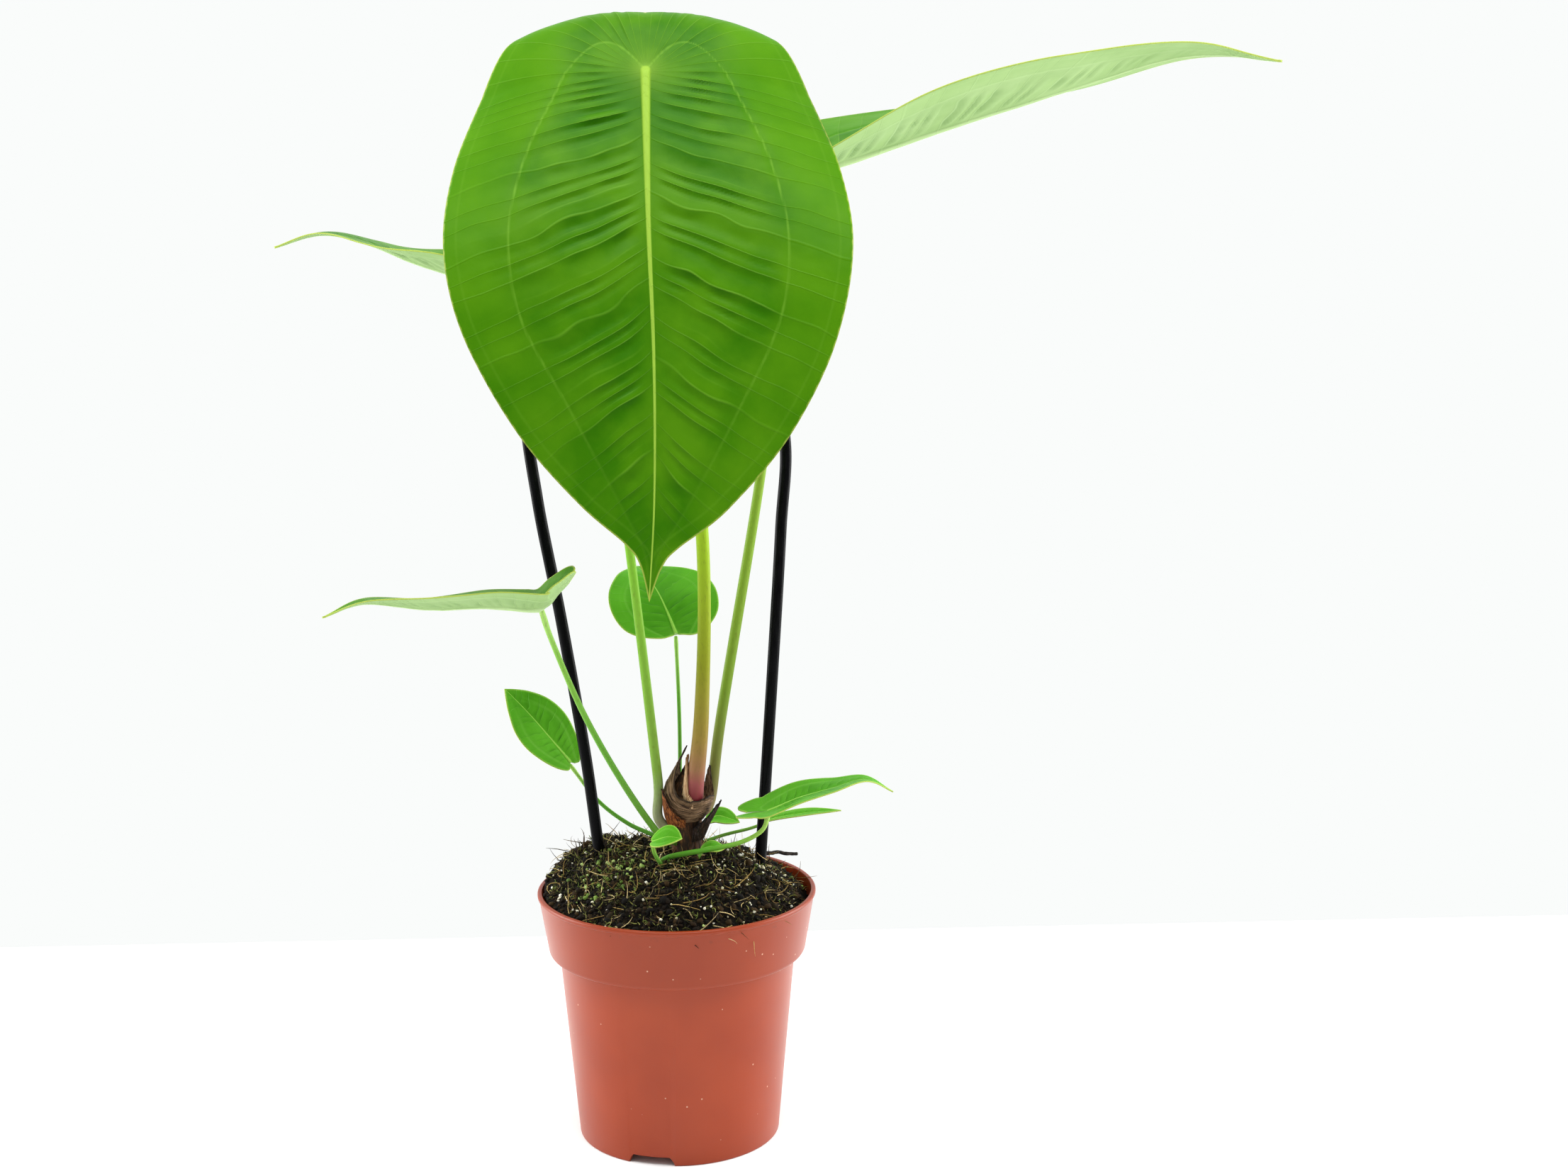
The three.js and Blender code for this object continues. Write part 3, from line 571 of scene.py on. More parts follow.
# ---- Sheaths ----
# Cataphylls: the papery leaf-like scales that wrapped each new stalk. They have dried on the stem to thin
# ribbed sheets, split and curled at their edges, and grow from it one above another.
SHEATH_THICKNESS = 0.5
OLIVE_BROWN = ["#120b06", "#372617", "#6b5238", "#92755a", "#3f2e20"]
ORANGE_BROWN = ["#150b06", "#3a2010", "#7c431d", "#b06a35", "#4c3420"]
BLACK_BROWN = ["#060403", "#120b08", "#23150e", "#3a2419", "#0d0806"]
CREAM = ["#7a5636", "#a9825c", "#c6a37c", "#d3b48f", "#8a6848"]
# cone is the flaring surface that a sheath lies on, as (z, x, y, radius) going up. It covers the compass
# angles in span, from the height base to its torn top, whose heights are at even steps between the angles.
# fibres are the number of streaks round it and up it, and curl turns its top edge out.
SHEATHS = {
    "cataphyll_front": {
        "cone": [
            (139, 4.2, 0, 7.4), (143, 4.8, -0.6, 9.3), (148, 5.3, -0.6, 10.6), (152, 5.5, -0.6, 10.5),
            (156, 5.9, -0.3, 9.1), (163, 6.8, 0, 6.3), (171, 8, 0, 2.6),
        ],
        "span": (115, 355), "base": 139.5, "top": [157, 166, 171, 164, 154, 150, 150, 151, 149.5],
        "tones": OLIVE_BROWN, "fibres": (3, 11), "curl": 0.5,
    },
    "cataphyll_collar": {
        "cone": [(137, 4, 0, 7.8), (141, 4.6, -0.6, 10), (147, 5.2, -0.6, 11.6), (153, 5.4, -0.6, 11.6)],
        "span": (203, 268), "base": 137.5, "top": [154, 151, 146, 143, 141.5],
        "tones": ORANGE_BROWN, "fibres": (9, 2), "curl": 0.9,
    },
    "cataphyll_flap": {
        "cone": [(130, 4.6, 0, 7), (136, 4.8, 0, 8.9), (141, 5, 0, 11.6), (148.5, 5, 0, 16)],
        "span": (285, 350), "base": 130.5, "top": [137, 138.5, 141, 144.5, 148.5, 141],
        "tones": BLACK_BROWN, "fibres": (10, 2), "curl": -0.6,
    },
    "cataphyll_right": {
        "cone": [(146, 15, 6, 3.4), (154, 16, 6.4, 3.3), (162, 17, 6.9, 3.1)],
        "span": (175, 285), "base": 146.5, "top": [150, 155, 161.5, 156, 150],
        "tones": OLIVE_BROWN, "fibres": (6, 2), "curl": 0.2,
    },
}
# The pale inner layer of the front sheath, which shows beside the stalk that it holds.
LINING = {
    "cone": [(146, 8, -5.6, 5.6), (152, 8.2, -5.6, 5.3), (160, 9, -5.4, 4.9), (168, 9.6, -5.2, 4.2)],
    "span": (130, 262), "base": 146.5, "top": [158, 166, 168.5, 163, 153.5, 150.2],
    "tones": CREAM, "fibres": (8, 2), "curl": 0.1,
}


def eased(values, share):
    """The value at each share (0 to 1) of a smooth curve through evenly spread numbers."""
    curve = smooth_path(values, 12) if len(values) > 1 else np.array(values * 2, float)
    return np.interp(share, np.linspace(0, 1, len(curve)), curve)


def closed_sheet(outer, inner, rows, columns, seamed=False):
    """A thin body between two grids of points: points, faces, and 0 on its outer face or 1 elsewhere.
    A seamed one has a first row that runs out and back along one line, where its halves join."""
    face = grid_faces(rows, columns)
    count = rows * columns
    row = np.arange(rows - 1) * columns
    column = np.arange(columns - 1)
    left = np.stack([row, row + columns, row + columns + count, row + count], 1)
    end = row + columns - 1
    right = np.stack([end + columns, end, end + count, end + columns + count], 1)
    first = np.stack([column + 1, column, column + count, column + 1 + count], 1)
    top = column + (rows - 1) * columns
    last = np.stack([top, top + 1, top + 1 + count, top + count], 1)
    ends = [last] if seamed else [first, last]
    faces = np.concatenate([face, face[:, ::-1] + count, left, right, *ends])
    sides = np.ones(len(faces), int)
    sides[: len(face)] = 0
    return np.concatenate([outer.reshape(-1, 3), inner.reshape(-1, 3)]), faces, sides


def sheath_body(seed, cone, span, base, top, fibres, curl):
    """A ribbed sheet on a flaring surface, with a torn and curled top edge."""
    rows, columns = 64, 110
    share = np.repeat(np.linspace(0, 1, rows), columns)
    across = np.tile(np.linspace(0, 1, columns), rows)
    angle = np.radians(span[0] + (span[1] - span[0]) * across)
    flat = np.stack([across * 14, share * 0, np.full_like(share, seed)], 1)
    torn = 0.7 * lumps(flat, 1.0) + 0.35 * lumps(flat * (4, 1, 1) + 30, 1.0)
    height = base + (eased(top, across) + torn - base) * share
    levels, *along_cone = zip(*cone)
    x, y, radius = (np.interp(height, levels, values) for values in along_cone)
    place = np.stack([across * fibres[0], share * fibres[1], np.full_like(share, seed + 5)], 1)
    ribs = 0.28 * lumps(place * 1.5, 1.0, 2) + 0.16 * np.sin(place[:, 0] * 9 + place[:, 1] * 9)
    swell = 0.4 * lumps(np.stack([across * 5, share * 2, np.full_like(share, seed + 9)], 1), 1.0)
    edge = np.minimum(np.minimum(share, across), 1 - across)
    out = radius + (ribs + swell) * np.clip(edge * 12, 0.2, 1) + curl * share**8
    reach = np.stack([np.cos(angle), np.sin(angle), np.zeros_like(angle)], 1)
    surface = np.stack([x, y, height], 1) + reach * out[:, None]
    thick = SHEATH_THICKNESS / 2
    points, faces, _ = closed_sheet(surface + reach * thick, surface - reach * thick, rows, columns)
    return points, faces, {"across": np.tile(across, 2), "along": np.tile(share, 2)}


def dried_cataphyll(name, tones, fibres):
    """Dry plant paper: matt, streaked along its fibres from light to dark, darkest where it has torn."""
    material, tree = new_material(name, Roughness=0.7, IOR=1.45, Specular_IOR_Level=0.3)
    across = add_node(tree, "Attribute", attribute_name="across").outputs["Fac"]
    along = add_node(tree, "Attribute", attribute_name="along").outputs["Fac"]
    sheet = add_node(tree, "CombineXYZ", {"X": across, "Y": along}).outputs[0]
    stretch = (fibres[0] * 1.8, fibres[1] * 1.8, 1.0)
    drawn = add_node(tree, "Mapping", {"Vector": sheet, "Scale": stretch}).outputs[0]
    streak = add_node(
        tree, "TexNoise", {"Vector": drawn, "Scale": 1.0, "Detail": 6.0, "Roughness": 0.7, "Distortion": 0.4}
    ).outputs["Fac"]
    stops = [(0.3 + 0.1 * i, tone) for i, tone in enumerate(tones)]
    colour = add_node(tree, "ValToRGB", {"Fac": streak}, stops=stops).outputs["Color"]
    tip = add_node(tree, "MapRange", {"Value": along, "From Min": 0.9, "To Max": 0.9}).outputs[0]
    worn = add_node(
        tree, "Mix", {"Factor": tip, "A": colour, "B": linear(tones[0])}, data_type="RGBA"
    ).outputs["Result"]
    bump = add_node(tree, "Bump", {"Strength": 0.9, "Distance": 0.35 * MM, "Height": streak}).outputs[0]
    feed(tree, Base_Color=worn, Normal=bump)
    return material


for seed, (node, shape) in enumerate([*SHEATHS.items(), ("cataphyll_lining", LINING)]):
    tones = shape.pop("tones")
    points, faces, fields = sheath_body(seed * 20, **shape)
    paper = dried_cataphyll("dried_" + node, tones, shape["fibres"])
    piece = make_piece(node.replace("cataphyll", "sheath"), points, faces, [paper], fields, 50)
    if node in SHEATHS:
        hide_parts(node)

# ---- Stalks ----
# Petioles: firm round stalks, flared where they clasp the stem. Each ends in a geniculum, the short
# swollen joint that turns the blade to the light. They are green, flushed with red low down.
STALKS = {
    "front": {
        "path": [
            (7, -6, 146), (11.5, -6, 189), (12.5, -9, 262), (4, -12, 360), (-6, -23, 428), (-8, -32, 449),
        ],
        "radius": [3.9, 2.9, 2.7, 2.6, 2.5, 2.4],
        "tones": [
            (0.012, "#6a2028"), (0.035, "#8c4a48"), (0.055, "#8f6648"), (0.1, "#8a7432"),
            (0.2, "#7e841a"), (0.4, "#8cae20"), (1, "#9cc83a"),
        ],
    },
    "right": {
        "path": [(10, 4, 140), (15, 6, 147), (20, 8, 182), (36, 11, 275), (46, 15, 342), (55, 25.5, 409.5)],
        "radius": [2.4, 1.8],
        "tones": [(0, "#897356"), (0.06, "#75733f"), (0.2, "#708c2c"), (0.6, "#799a30"), (1, "#86ac3c")],
    },
    "left": {
        "path": [
            (-2, -1, 133), (-7.6, -2, 140.5), (-7.3, -2, 153), (-9, -2, 172), (-18, -3, 258), (-26, -4, 321),
            (-34, -3, 363.5),
        ],
        "radius": [2.1, 1.9, 1.6],
        "tones": [(0, "#9a8b73"), (0.05, "#8c936d"), (0.13, "#76993a"), (0.5, "#78ae32"), (1, "#8cbc42")],
    },
    "lower_left": {
        "path": [
            (0, -3, 129.5), (-8, -9, 136), (-23, -12, 160), (-38, -16, 190), (-50, -19, 221),
            (-54, -21, 234.5),
        ],
        "radius": [1.5, 1.1],
        "tones": [(0, "#5c8730"), (0.5, "#5c9730"), (0.85, "#81b349"), (1, "#a3c96d")],
    },
    "round": {
        "path": [(3, 4, 130), (1, 14, 138), (2, 22, 156), (2, 26, 181), (1, 29.5, 212.5)],
        "radius": [0.9, 0.8], "tones": [(0, "#4b802b"), (0.7, "#5c9532"), (1, "#8bb755")],
    },
    "small_left": {
        "path": [(-2, 9, 121), (-8, 12.5, 127), (-21, 20, 131.5), (-34, 27, 140), (-46, 30, 155.5)],
        "radius": [1, 0.8], "tones": [(0, "#4b802b"), (0.7, "#5a9930"), (1, "#95be5a")],
    },
    "small_right": {
        "path": [
            (-9, -11, 121), (-3, -13, 126), (14, -16, 130), (27, -20, 134), (36, -20, 139),
            (39, -18, 145.5),
        ],
        "radius": [1.2, 0.9], "tones": [(0, "#4c8028"), (0.5, "#5a9c2d"), (0.8, "#8ab849"), (1, "#a6c967")],
    },
    "under_right": {
        "path": [(4, 16, 121), (20, 24, 124), (32, 27, 126), (39, 28, 128)],
        "radius": [0.8, 0.7], "tones": [(0, "#4b802b"), (1, "#77a642")],
    },
    "behind_stem": {
        "path": [(4, 19, 121), (8, 22, 126), (14, 24, 130)],
        "radius": [0.7, 0.6], "tones": [(0, "#4b802b"), (1, "#77a642")],
    },
    "tiny_front": {
        "path": [(-5.5, -16, 122), (-9, -20, 129.5), (-10, -22, 134.5)],
        "radius": [0.9, 0.8], "tones": [(0, "#4b802b"), (0.6, "#6ea63c"), (1, "#8fbc50")],
    },
    "tiny_side": {
        "path": [(7, -10.5, 121), (9.5, -10, 125), (11, -9, 127)],
        "radius": [0.7, 0.6], "tones": [(0, "#4b802b"), (1, "#77a642")],
    },
}


def stalk_skin(name, tones):
    """Living petiole skin: waxy, with fine darker flecks drawn out along it."""
    material, tree = new_material(name, Roughness=0.38, IOR=1.42, Specular_IOR_Level=0.12)
    share = add_node(tree, "Attribute", attribute_name="share").outputs["Fac"]
    colour = add_node(tree, "ValToRGB", {"Fac": share}, stops=tones).outputs["Color"]
    place = add_node(tree, "TexCoord").outputs["Object"]
    drawn = add_node(tree, "Mapping", {"Vector": place, "Scale": (1.0, 1.0, 0.3)}).outputs[0]
    flecks = add_node(tree, "TexNoise", {"Vector": drawn, "Scale": per(0.8), "Detail": 3.0}).outputs["Fac"]
    dark = add_node(
        tree, "MapRange", {"Value": flecks, "From Min": 0.55, "From Max": 0.75, "To Max": 0.35}
    ).outputs[0]
    skin = add_node(
        tree, "Mix", {"Factor": dark, "A": colour, "B": linear("#5e5a1e")}, data_type="RGBA"
    ).outputs["Result"]
    bump = add_node(tree, "Bump", {"Strength": 0.25, "Distance": 0.08 * MM, "Height": flecks}).outputs[0]
    feed(tree, Base_Color=skin, Normal=bump)
    return material


def stalk_body(path, radius):
    """The stalk, with its clasping foot and the swollen joint under the blade."""
    line = smooth_path(path, 26)
    share = lengths_along(line) / lengths_along(line)[-1]
    thick = eased(radius, share)
    joint = 0.16 * np.exp(-(((share - 0.965) / 0.03) ** 2))
    foot = 0.12 * np.exp(-((share / 0.04) ** 2))
    return sweep(line, thick * (1 + joint + foot), 20)


for name, stalk in STALKS.items():
    points, faces, share = stalk_body(stalk["path"], stalk["radius"])
    skin = stalk_skin("petiole_skin_" + name, stalk["tones"])
    piece = make_piece("stalk_" + name, points, faces, [skin], {"share": share}, 180)
    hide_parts("petiole_" + name)

# ---- Blades ----
# Leathery blades about half a millimetre thick. Side veins run from the midrib to a collective vein, with a
# second one near the margin, and the tissue between them is pleated. The upper side is deep green and
# waxy, the lower side pale and matt with raised veins, and a thin clear margin runs all round.
BLADE_THICKNESS = 0.5
LOBE_SHARE = 0.3  # the share of the margin that belongs to the lobes behind the stalk
PER_SPAN = 40
NEAR = 0.6  # how far apart two points are that a surface's slope is taken from
DIP = 0.3  # the share of the way from one side vein to the next over which the tissue dips
THIN_VEIN = 0.62  # the share of that way at which a thin vein runs
INNER_VEIN = 5.0  # how far inside the margin the second long vein runs
# Half of a margin, from the notch behind the stalk to the tip: along / midrib length, out / half width.
OUTLINES = {
    "broad": [
        (-0.16, 0), (-0.215, 0.02), (-0.29, 0.2), (-0.285, 0.42), (-0.21, 0.605), (-0.1, 0.735),
        (0.03, 0.86), (0.18, 0.965), (0.36, 1), (0.53, 0.9), (0.7, 0.66), (0.83, 0.36), (0.9, 0.13),
        (0.935, 0.055), (1, 0),
    ],
    "heart": [
        (-0.17, 0.06), (-0.235, 0.28), (-0.21, 0.55), (-0.09, 0.82), (0.08, 0.98), (0.28, 1),
        (0.48, 0.85), (0.67, 0.57), (0.83, 0.27), (0.92, 0.09), (1, 0),
    ],
    "round": [
        (-0.02, 0.06), (-0.05, 0.32), (0, 0.62), (0.14, 0.9), (0.36, 1), (0.57, 0.9), (0.76, 0.6),
        (0.9, 0.28), (1, 0),
    ],
    "oval": [
        (-0.04, 0.1), (-0.05, 0.3), (0.05, 0.6), (0.22, 0.86), (0.42, 1), (0.62, 0.9), (0.8, 0.58),
        (0.92, 0.26), (1, 0),
    ],
}
# Each at even steps from stalk to tip.
COLLECTIVE = [0.49, 0.62, 0.68, 0.67, 0.55, 0.44, 0.3]  # its place between midrib and margin
LEAN = [0.03, 0.24, 0.36, 0.48, 0.6, 0.76, 0.96, 1.2]  # how far side veins slope forwards
ARCH = [0.03, 0.024, 0.016, 0.01]  # how far they first bow forwards / blade width
# heading is the way the blade points. fold, roll and cup shape its halves, at even steps from stalk to tip.
# vein is the distance between side veins, pleat how far the tissue between them stands up, rib the width
# of the midrib at the stalk.
LEAVES = {
    "front": {
        "outline": "broad", "width": 156, "heading": -90, "fold": [4, 2, 0, 0], "roll": [0],
        "cup": [-0.42, -0.12, -0.03, 0],
        "midrib": [(-8, -33, 451), (-7.5, -66, 396), (-6, -84, 342), (-6.5, -94, 292), (-9, -98, 252)],
        "lobes": [(-8, -8, 474), (-8, 25, 461)],
        "vein": 8.0, "pleat": 0.85, "rib": 3.9, "grid": (330, 70),
    },
    "right": {
        "outline": "heart", "width": 118, "heading": 0, "fold": [13, 12, 5, 0], "roll": [-9, 4, 11, 5],
        "cup": [0],
        "midrib": [(55, 25.5, 411), (106, 23, 427), (161, 17, 444), (214, 12, 459), (254, 8, 457)],
        "lobes": [(27, 26.5, 405), (7, 27.5, 404)],
        "vein": 9.0, "pleat": 1.0, "rib": 4.4, "grid": (240, 56),
    },
    "left": {
        "outline": "heart", "width": 80, "heading": 180, "fold": [14, 14, 13, 11, 1, 0, 5], "roll": [0],
        "cup": [0],
        "midrib": [
            (-34, -2, 365), (-66, 0, 367), (-98, 3, 374.5), (-122, 5, 384), (-141, 6, 388), (-161, 6, 383),
        ],
        "lobes": [(-20, -3, 370), (-8, -4, 373)],
        "vein": 7.0, "pleat": 0.7, "rib": 3.4, "grid": (200, 44),
    },
    "lower_left": {
        "outline": "heart", "width": 60, "heading": 190, "fold": [14, 10, 8, 0], "roll": [-8, -10, -10, 0],
        "cup": [0],
        "midrib": [
            (-54, -21, 236), (-75, -26, 238), (-100, -31, 238.5), (-124, -36, 242), (-141, -38, 237),
        ],
        "lobes": [(-46, -19, 242), (-39, -18, 249)],
        "vein": 6.0, "pleat": 0.55, "rib": 2.6, "grid": (180, 40),
    },
    "round": {
        "outline": "round", "width": 49, "heading": 100, "fold": [5], "roll": [0], "cup": [0],
        "midrib": [(1, 30, 214), (-5, 42, 227), (-11, 54, 235), (-16, 66, 238)],
        "lobes": [(3, 22, 209)],
        "vein": 5.5, "pleat": 0.35, "rib": 1.7, "grid": (120, 34),
    },
    "small_left": {
        "outline": "oval", "width": 25, "heading": 180, "fold": [8, 5], "roll": [55], "cup": [0],
        "midrib": [(-46, 30, 157), (-54, 31, 167), (-64, 32, 179), (-74, 32, 190)],
        "lobes": [(-42, 29, 152)],
        "vein": 4.5, "pleat": 0.25, "rib": 1.3, "grid": (90, 24),
    },
    "small_right": {
        "outline": "heart", "width": 25, "heading": 0, "fold": [12, 10, 5, 0], "roll": [-8, -5, 0, 0],
        "cup": [0],
        "midrib": [(39, -18, 147), (52, -20, 153), (66, -20, 157), (80, -18, 160), (92, -16, 154)],
        "lobes": [(33, -17, 146)],
        "vein": 4.5, "pleat": 0.25, "rib": 1.4, "grid": (100, 24),
    },
    "under_right": {
        "outline": "oval", "width": 8, "heading": 0, "fold": [15, 5], "roll": [-8], "cup": [0],
        "midrib": [(39, 28, 129), (48, 28, 131), (60, 27, 133), (73, 26, 134)],
        "lobes": [(34, 28, 128)],
        "vein": 3.5, "pleat": 0.12, "rib": 0.9, "grid": (60, 14),
    },
    "behind_stem": {
        "outline": "oval", "width": 10, "heading": 0, "fold": [10, 5], "roll": [-30], "cup": [0],
        "midrib": [(14, 24, 131), (19, 24, 133), (28, 22, 130.5)],
        "lobes": [(11, 24, 129)],
        "vein": 3.5, "pleat": 0.12, "rib": 0.8, "grid": (50, 14),
    },
    "tiny_front": {
        "outline": "oval", "width": 15, "heading": -15, "fold": [8, 5], "roll": [-20], "cup": [0],
        "midrib": [(-10, -22, 135.5), (-4, -24, 138), (2.5, -26, 138)],
        "lobes": [(-14, -21, 134.5)],
        "vein": 3.5, "pleat": 0.12, "rib": 0.9, "grid": (50, 14),
    },
    "tiny_side": {
        "outline": "oval", "width": 8, "heading": 0, "fold": [5], "roll": [-20], "cup": [0],
        "midrib": [(11, -9, 128), (15, -9, 129), (21, -8, 128)],
        "lobes": [(8, -9, 127.5)],
        "vein": 3.5, "pleat": 0.1, "rib": 0.7, "grid": (50, 12),
    },
}


def midrib_of(leaf):
    """Points along the midrib, how far each is from the stalk (negative between the lobes), and which way
    the midrib runs at each."""
    line = smooth_path(leaf["lobes"][::-1] + leaf["midrib"], PER_SPAN)
    along = lengths_along(line)
    along -= along[PER_SPAN * len(leaf["lobes"])]
    return line, along, unit(np.gradient(line, along, axis=0))


def on_blade(leaf, rib, x, y):
    """The flat blade's points at x along the midrib and y out from it."""
    line, along, ahead = rib
    i = np.clip(np.searchsorted(along, x), 1, len(along) - 1)
    share = ((x - along[i - 1]) / (along[i] - along[i - 1]))[:, None]
    centre = line[i - 1] + share * (line[i] - line[i - 1])
    tangent = unit(ahead[i - 1] + np.clip(share, 0, 1) * (ahead[i] - ahead[i - 1]))
    heading = math.radians(leaf["heading"])
    side = np.array([math.sin(heading), -math.cos(heading), 0.0])
    side = unit(side - tangent * (tangent @ side)[:, None])
    up = np.cross(side, tangent)
    share = np.clip(x / along[-1], 0, 1)
    roll = np.radians(eased(leaf["roll"], share))[:, None]
    fold = np.radians(eased(leaf["fold"], share))
    across = side * np.cos(roll) + up * np.sin(roll)
    away = up * np.cos(roll) - side * np.sin(roll)
    rise = np.abs(y) * np.sin(fold) + eased(leaf["cup"], share) * y * y / (leaf["width"] / 2)
    return centre + across * (y * np.cos(fold))[:, None] + away * rise[:, None]


def nearest(x, y, line):
    """The distance from each point to a line of points."""
    return np.concatenate([
        np.hypot(px[:, None] - line[:, 0], py[:, None] - line[:, 1]).min(1)
        for px, py in zip(np.array_split(x, 40), np.array_split(y, 40))
    ])


def smoothstep(value, low, high):
    """0 up to low and 1 from high on, with an eased step between them."""
    t = np.clip((value - low) / (high - low), 0, 1)
    return t * t * (3 - 2 * t)


def vein_phase(leaf, length, x, y):
    """A number that grows by one from each side vein to the next, from the back of the lobes to the tip."""
    reach = np.abs(y)
    wander = 0.24 * leaf["vein"] * lumps(np.stack([x, y, np.zeros_like(x)], 1), 26.0 * length / 200, 2)
    bow = leaf["width"] * (1 - np.exp(-reach / (0.06 * leaf["width"])))
    start = x.copy()
    for _ in range(6):
        along = np.clip(start / length, 0, 1)
        start = x - reach * eased(LEAN, along) - bow * eased(ARCH, along)
    crowd = leaf["vein"] * 1.6
    uneven = 0.24 * leaf["vein"] * np.sin(2.4 * start / leaf["vein"] + 0.9 * np.sign(y))
    start = np.maximum(start + (wander + uneven) * smoothstep(start, 0, 3 * crowd), 0)
    ahead = start / leaf["vein"] + 2.2 * (1 - np.exp(-start / crowd))
    start_angle = np.arctan2(reach, reach * LEAN[0] + bow * ARCH[0])
    behind = -np.degrees(np.arctan2(reach, x) - start_angle) / 11
    first = x - reach * LEAN[0] - bow * ARCH[0] < 0
    return np.where(first, behind, ahead) + np.where(y > 0, 0.45, 0) * smoothstep(start, 0, crowd)


def blade_body(leaf):
    """The blade's points, faces, sides, and the fields that its colours follow."""
    rib = midrib_of(leaf)
    length, width = rib[1][-1], leaf["width"]
    outline = smooth_path(OUTLINES[leaf["outline"]], PER_SPAN) * (length, width / 2)
    steps, across = leaf["grid"]
    t = np.linspace(0, 1, steps + 1)
    at = np.linspace(0, 1, len(outline))
    edge_x = np.interp(t, at, outline[:, 0])[:, None]
    edge_y = np.interp(t, at, outline[:, 1])[:, None]
    rib_x = (np.maximum(0, (t - LOBE_SHARE) / (1 - LOBE_SHARE)) * length)[:, None]
    s = np.arange(-across, across + 1) / across
    share = np.abs(s) ** 1.15
    x = (rib_x + (edge_x - rib_x) * share).ravel()
    y = (np.sign(s) * share * edge_y).ravel()
    flat = np.stack([x, y, np.zeros_like(x)], 1)
    reach = np.hypot(x, y)
    edge = nearest(x, np.abs(y), outline)
    along = np.clip(x / length, 0, 1)

    # The collective vein arches round the stalk, then runs to the tip between midrib and margin.
    front = outline[np.argmax(outline[:, 0] >= 0) :]
    margin_y = np.interp(np.clip(x, 0, None), front[:, 0], front[:, 1])
    ratio = np.abs(y) / np.maximum(eased(COLLECTIVE, along) * margin_y, 0.5)
    turn = np.linspace(0, np.pi, 40)
    start_y = np.interp(0, front[:, 0], front[:, 1]) * COLLECTIVE[0]
    arch = np.stack([-0.065 * length * np.sin(turn), start_y * turn / np.pi], 1)
    run = np.linspace(0, 1, 300)
    run_y = eased(COLLECTIVE, run) * np.interp(run * length, front[:, 0], front[:, 1])
    to_ring = nearest(x, np.abs(y), np.concatenate([arch, np.stack([run * length, run_y], 1)]))

    # Between two side veins the tissue dips steeply, then swells. Each vein and strip has its own strength.
    phase = vein_phase(leaf, length, x, y)
    f = phase % 1
    falling = 0.5 + 0.5 * np.cos(np.pi * f / DIP)
    swelling = 0.5 - 0.5 * np.cos(np.pi * (f - DIP) / (1 - DIP))
    by_vein = np.stack([np.floor(phase + 0.5) * 3.7, np.sign(y) * 9, x * 0], 1)
    vigour = 0.85 + 0.75 * lumps(by_vein, 1.0, 1)
    by_strip = np.stack([np.floor(phase) * 5.3, np.sign(y) * 7, x * 0 + 60], 1)
    minor = np.clip(lumps(by_strip, 1.0, 1) + 0.3, 0, 1)
    crest = np.where(f < DIP, falling, swelling) * vigour
    crest = crest + 0.7 * minor * np.exp(-(((f - THIN_VEIN) / 0.13) ** 2))
    rib_half = leaf["rib"] / 2 * np.interp(along, [0, 0.3, 0.6, 1], [1, 0.48, 0.28, 0.14])
    pleat = (
        smoothstep(np.abs(y), rib_half, rib_half + 0.06 * width)
        * (0.3 + 0.7 * smoothstep(x, -8, 8))
        * (1 - 0.85 * smoothstep(ratio, 0.45, 1.15))
        * (1 - 0.45 * along)
        * smoothstep(edge, 0, 0.06 * width)
        * smoothstep(reach, 2, 0.12 * length)
        * np.clip(0.8 + 0.9 * lumps(flat + 500, 0.1 * width, 2), 0.1, 1.6)
    )
    rise = leaf["pleat"] * (
        1.15 * pleat * (crest - 0.5)
        + 0.3 * lumps(flat + 300, 0.14 * width, 2) * smoothstep(edge, 0, 6)
        - 1.1 * np.exp(-np.abs(y) / (0.05 * width)) * smoothstep(x, -0.1 * length, 0.03 * length)
        - 0.25 * np.exp(-((to_ring / 1.2) ** 2))
    )
    bulge = np.sqrt(np.clip(1 - (y / rib_half) ** 2, 0, 1)) * rib_half
    bulge = bulge * smoothstep(x, -0.02 * length, 0.01 * length)

    d_across = on_blade(leaf, rib, x, y + NEAR) - on_blade(leaf, rib, x, y - NEAR)
    d_along = on_blade(leaf, rib, x + NEAR, y) - on_blade(leaf, rib, x - NEAR, y)
    normal = unit(np.cross(d_across, d_along))
    surface = on_blade(leaf, rib, x, y)
    thick = BLADE_THICKNESS / 2
    upper = surface + normal * (thick + rise + 0.75 * bulge)[:, None]
    lower = surface + normal * (rise - thick - 0.9 * bulge)[:, None]
    points, faces, sides = closed_sheet(upper, lower, steps + 1, len(s), outline[0, 1] == 0)
    fields = {
        "phase": phase + 40, "pleat": pleat * vigour, "minor": minor * pleat, "ring": to_ring,
        "edge": edge, "rib": np.hypot(np.minimum(x, 0), y) / rib_half, "along": x / length,
        "outer": smoothstep(ratio, 0.85, 1.2) * (1 - 0.8 * smoothstep(along, 0.35, 0.8)),
        "star": np.exp(-reach / (0.03 * width)),
        "fan": smoothstep(-x, 0, 0.03 * length) * np.exp(-reach / (0.16 * width)),
    }
    return points, faces, sides, {name: np.tile(values, 2) for name, values in fields.items()}


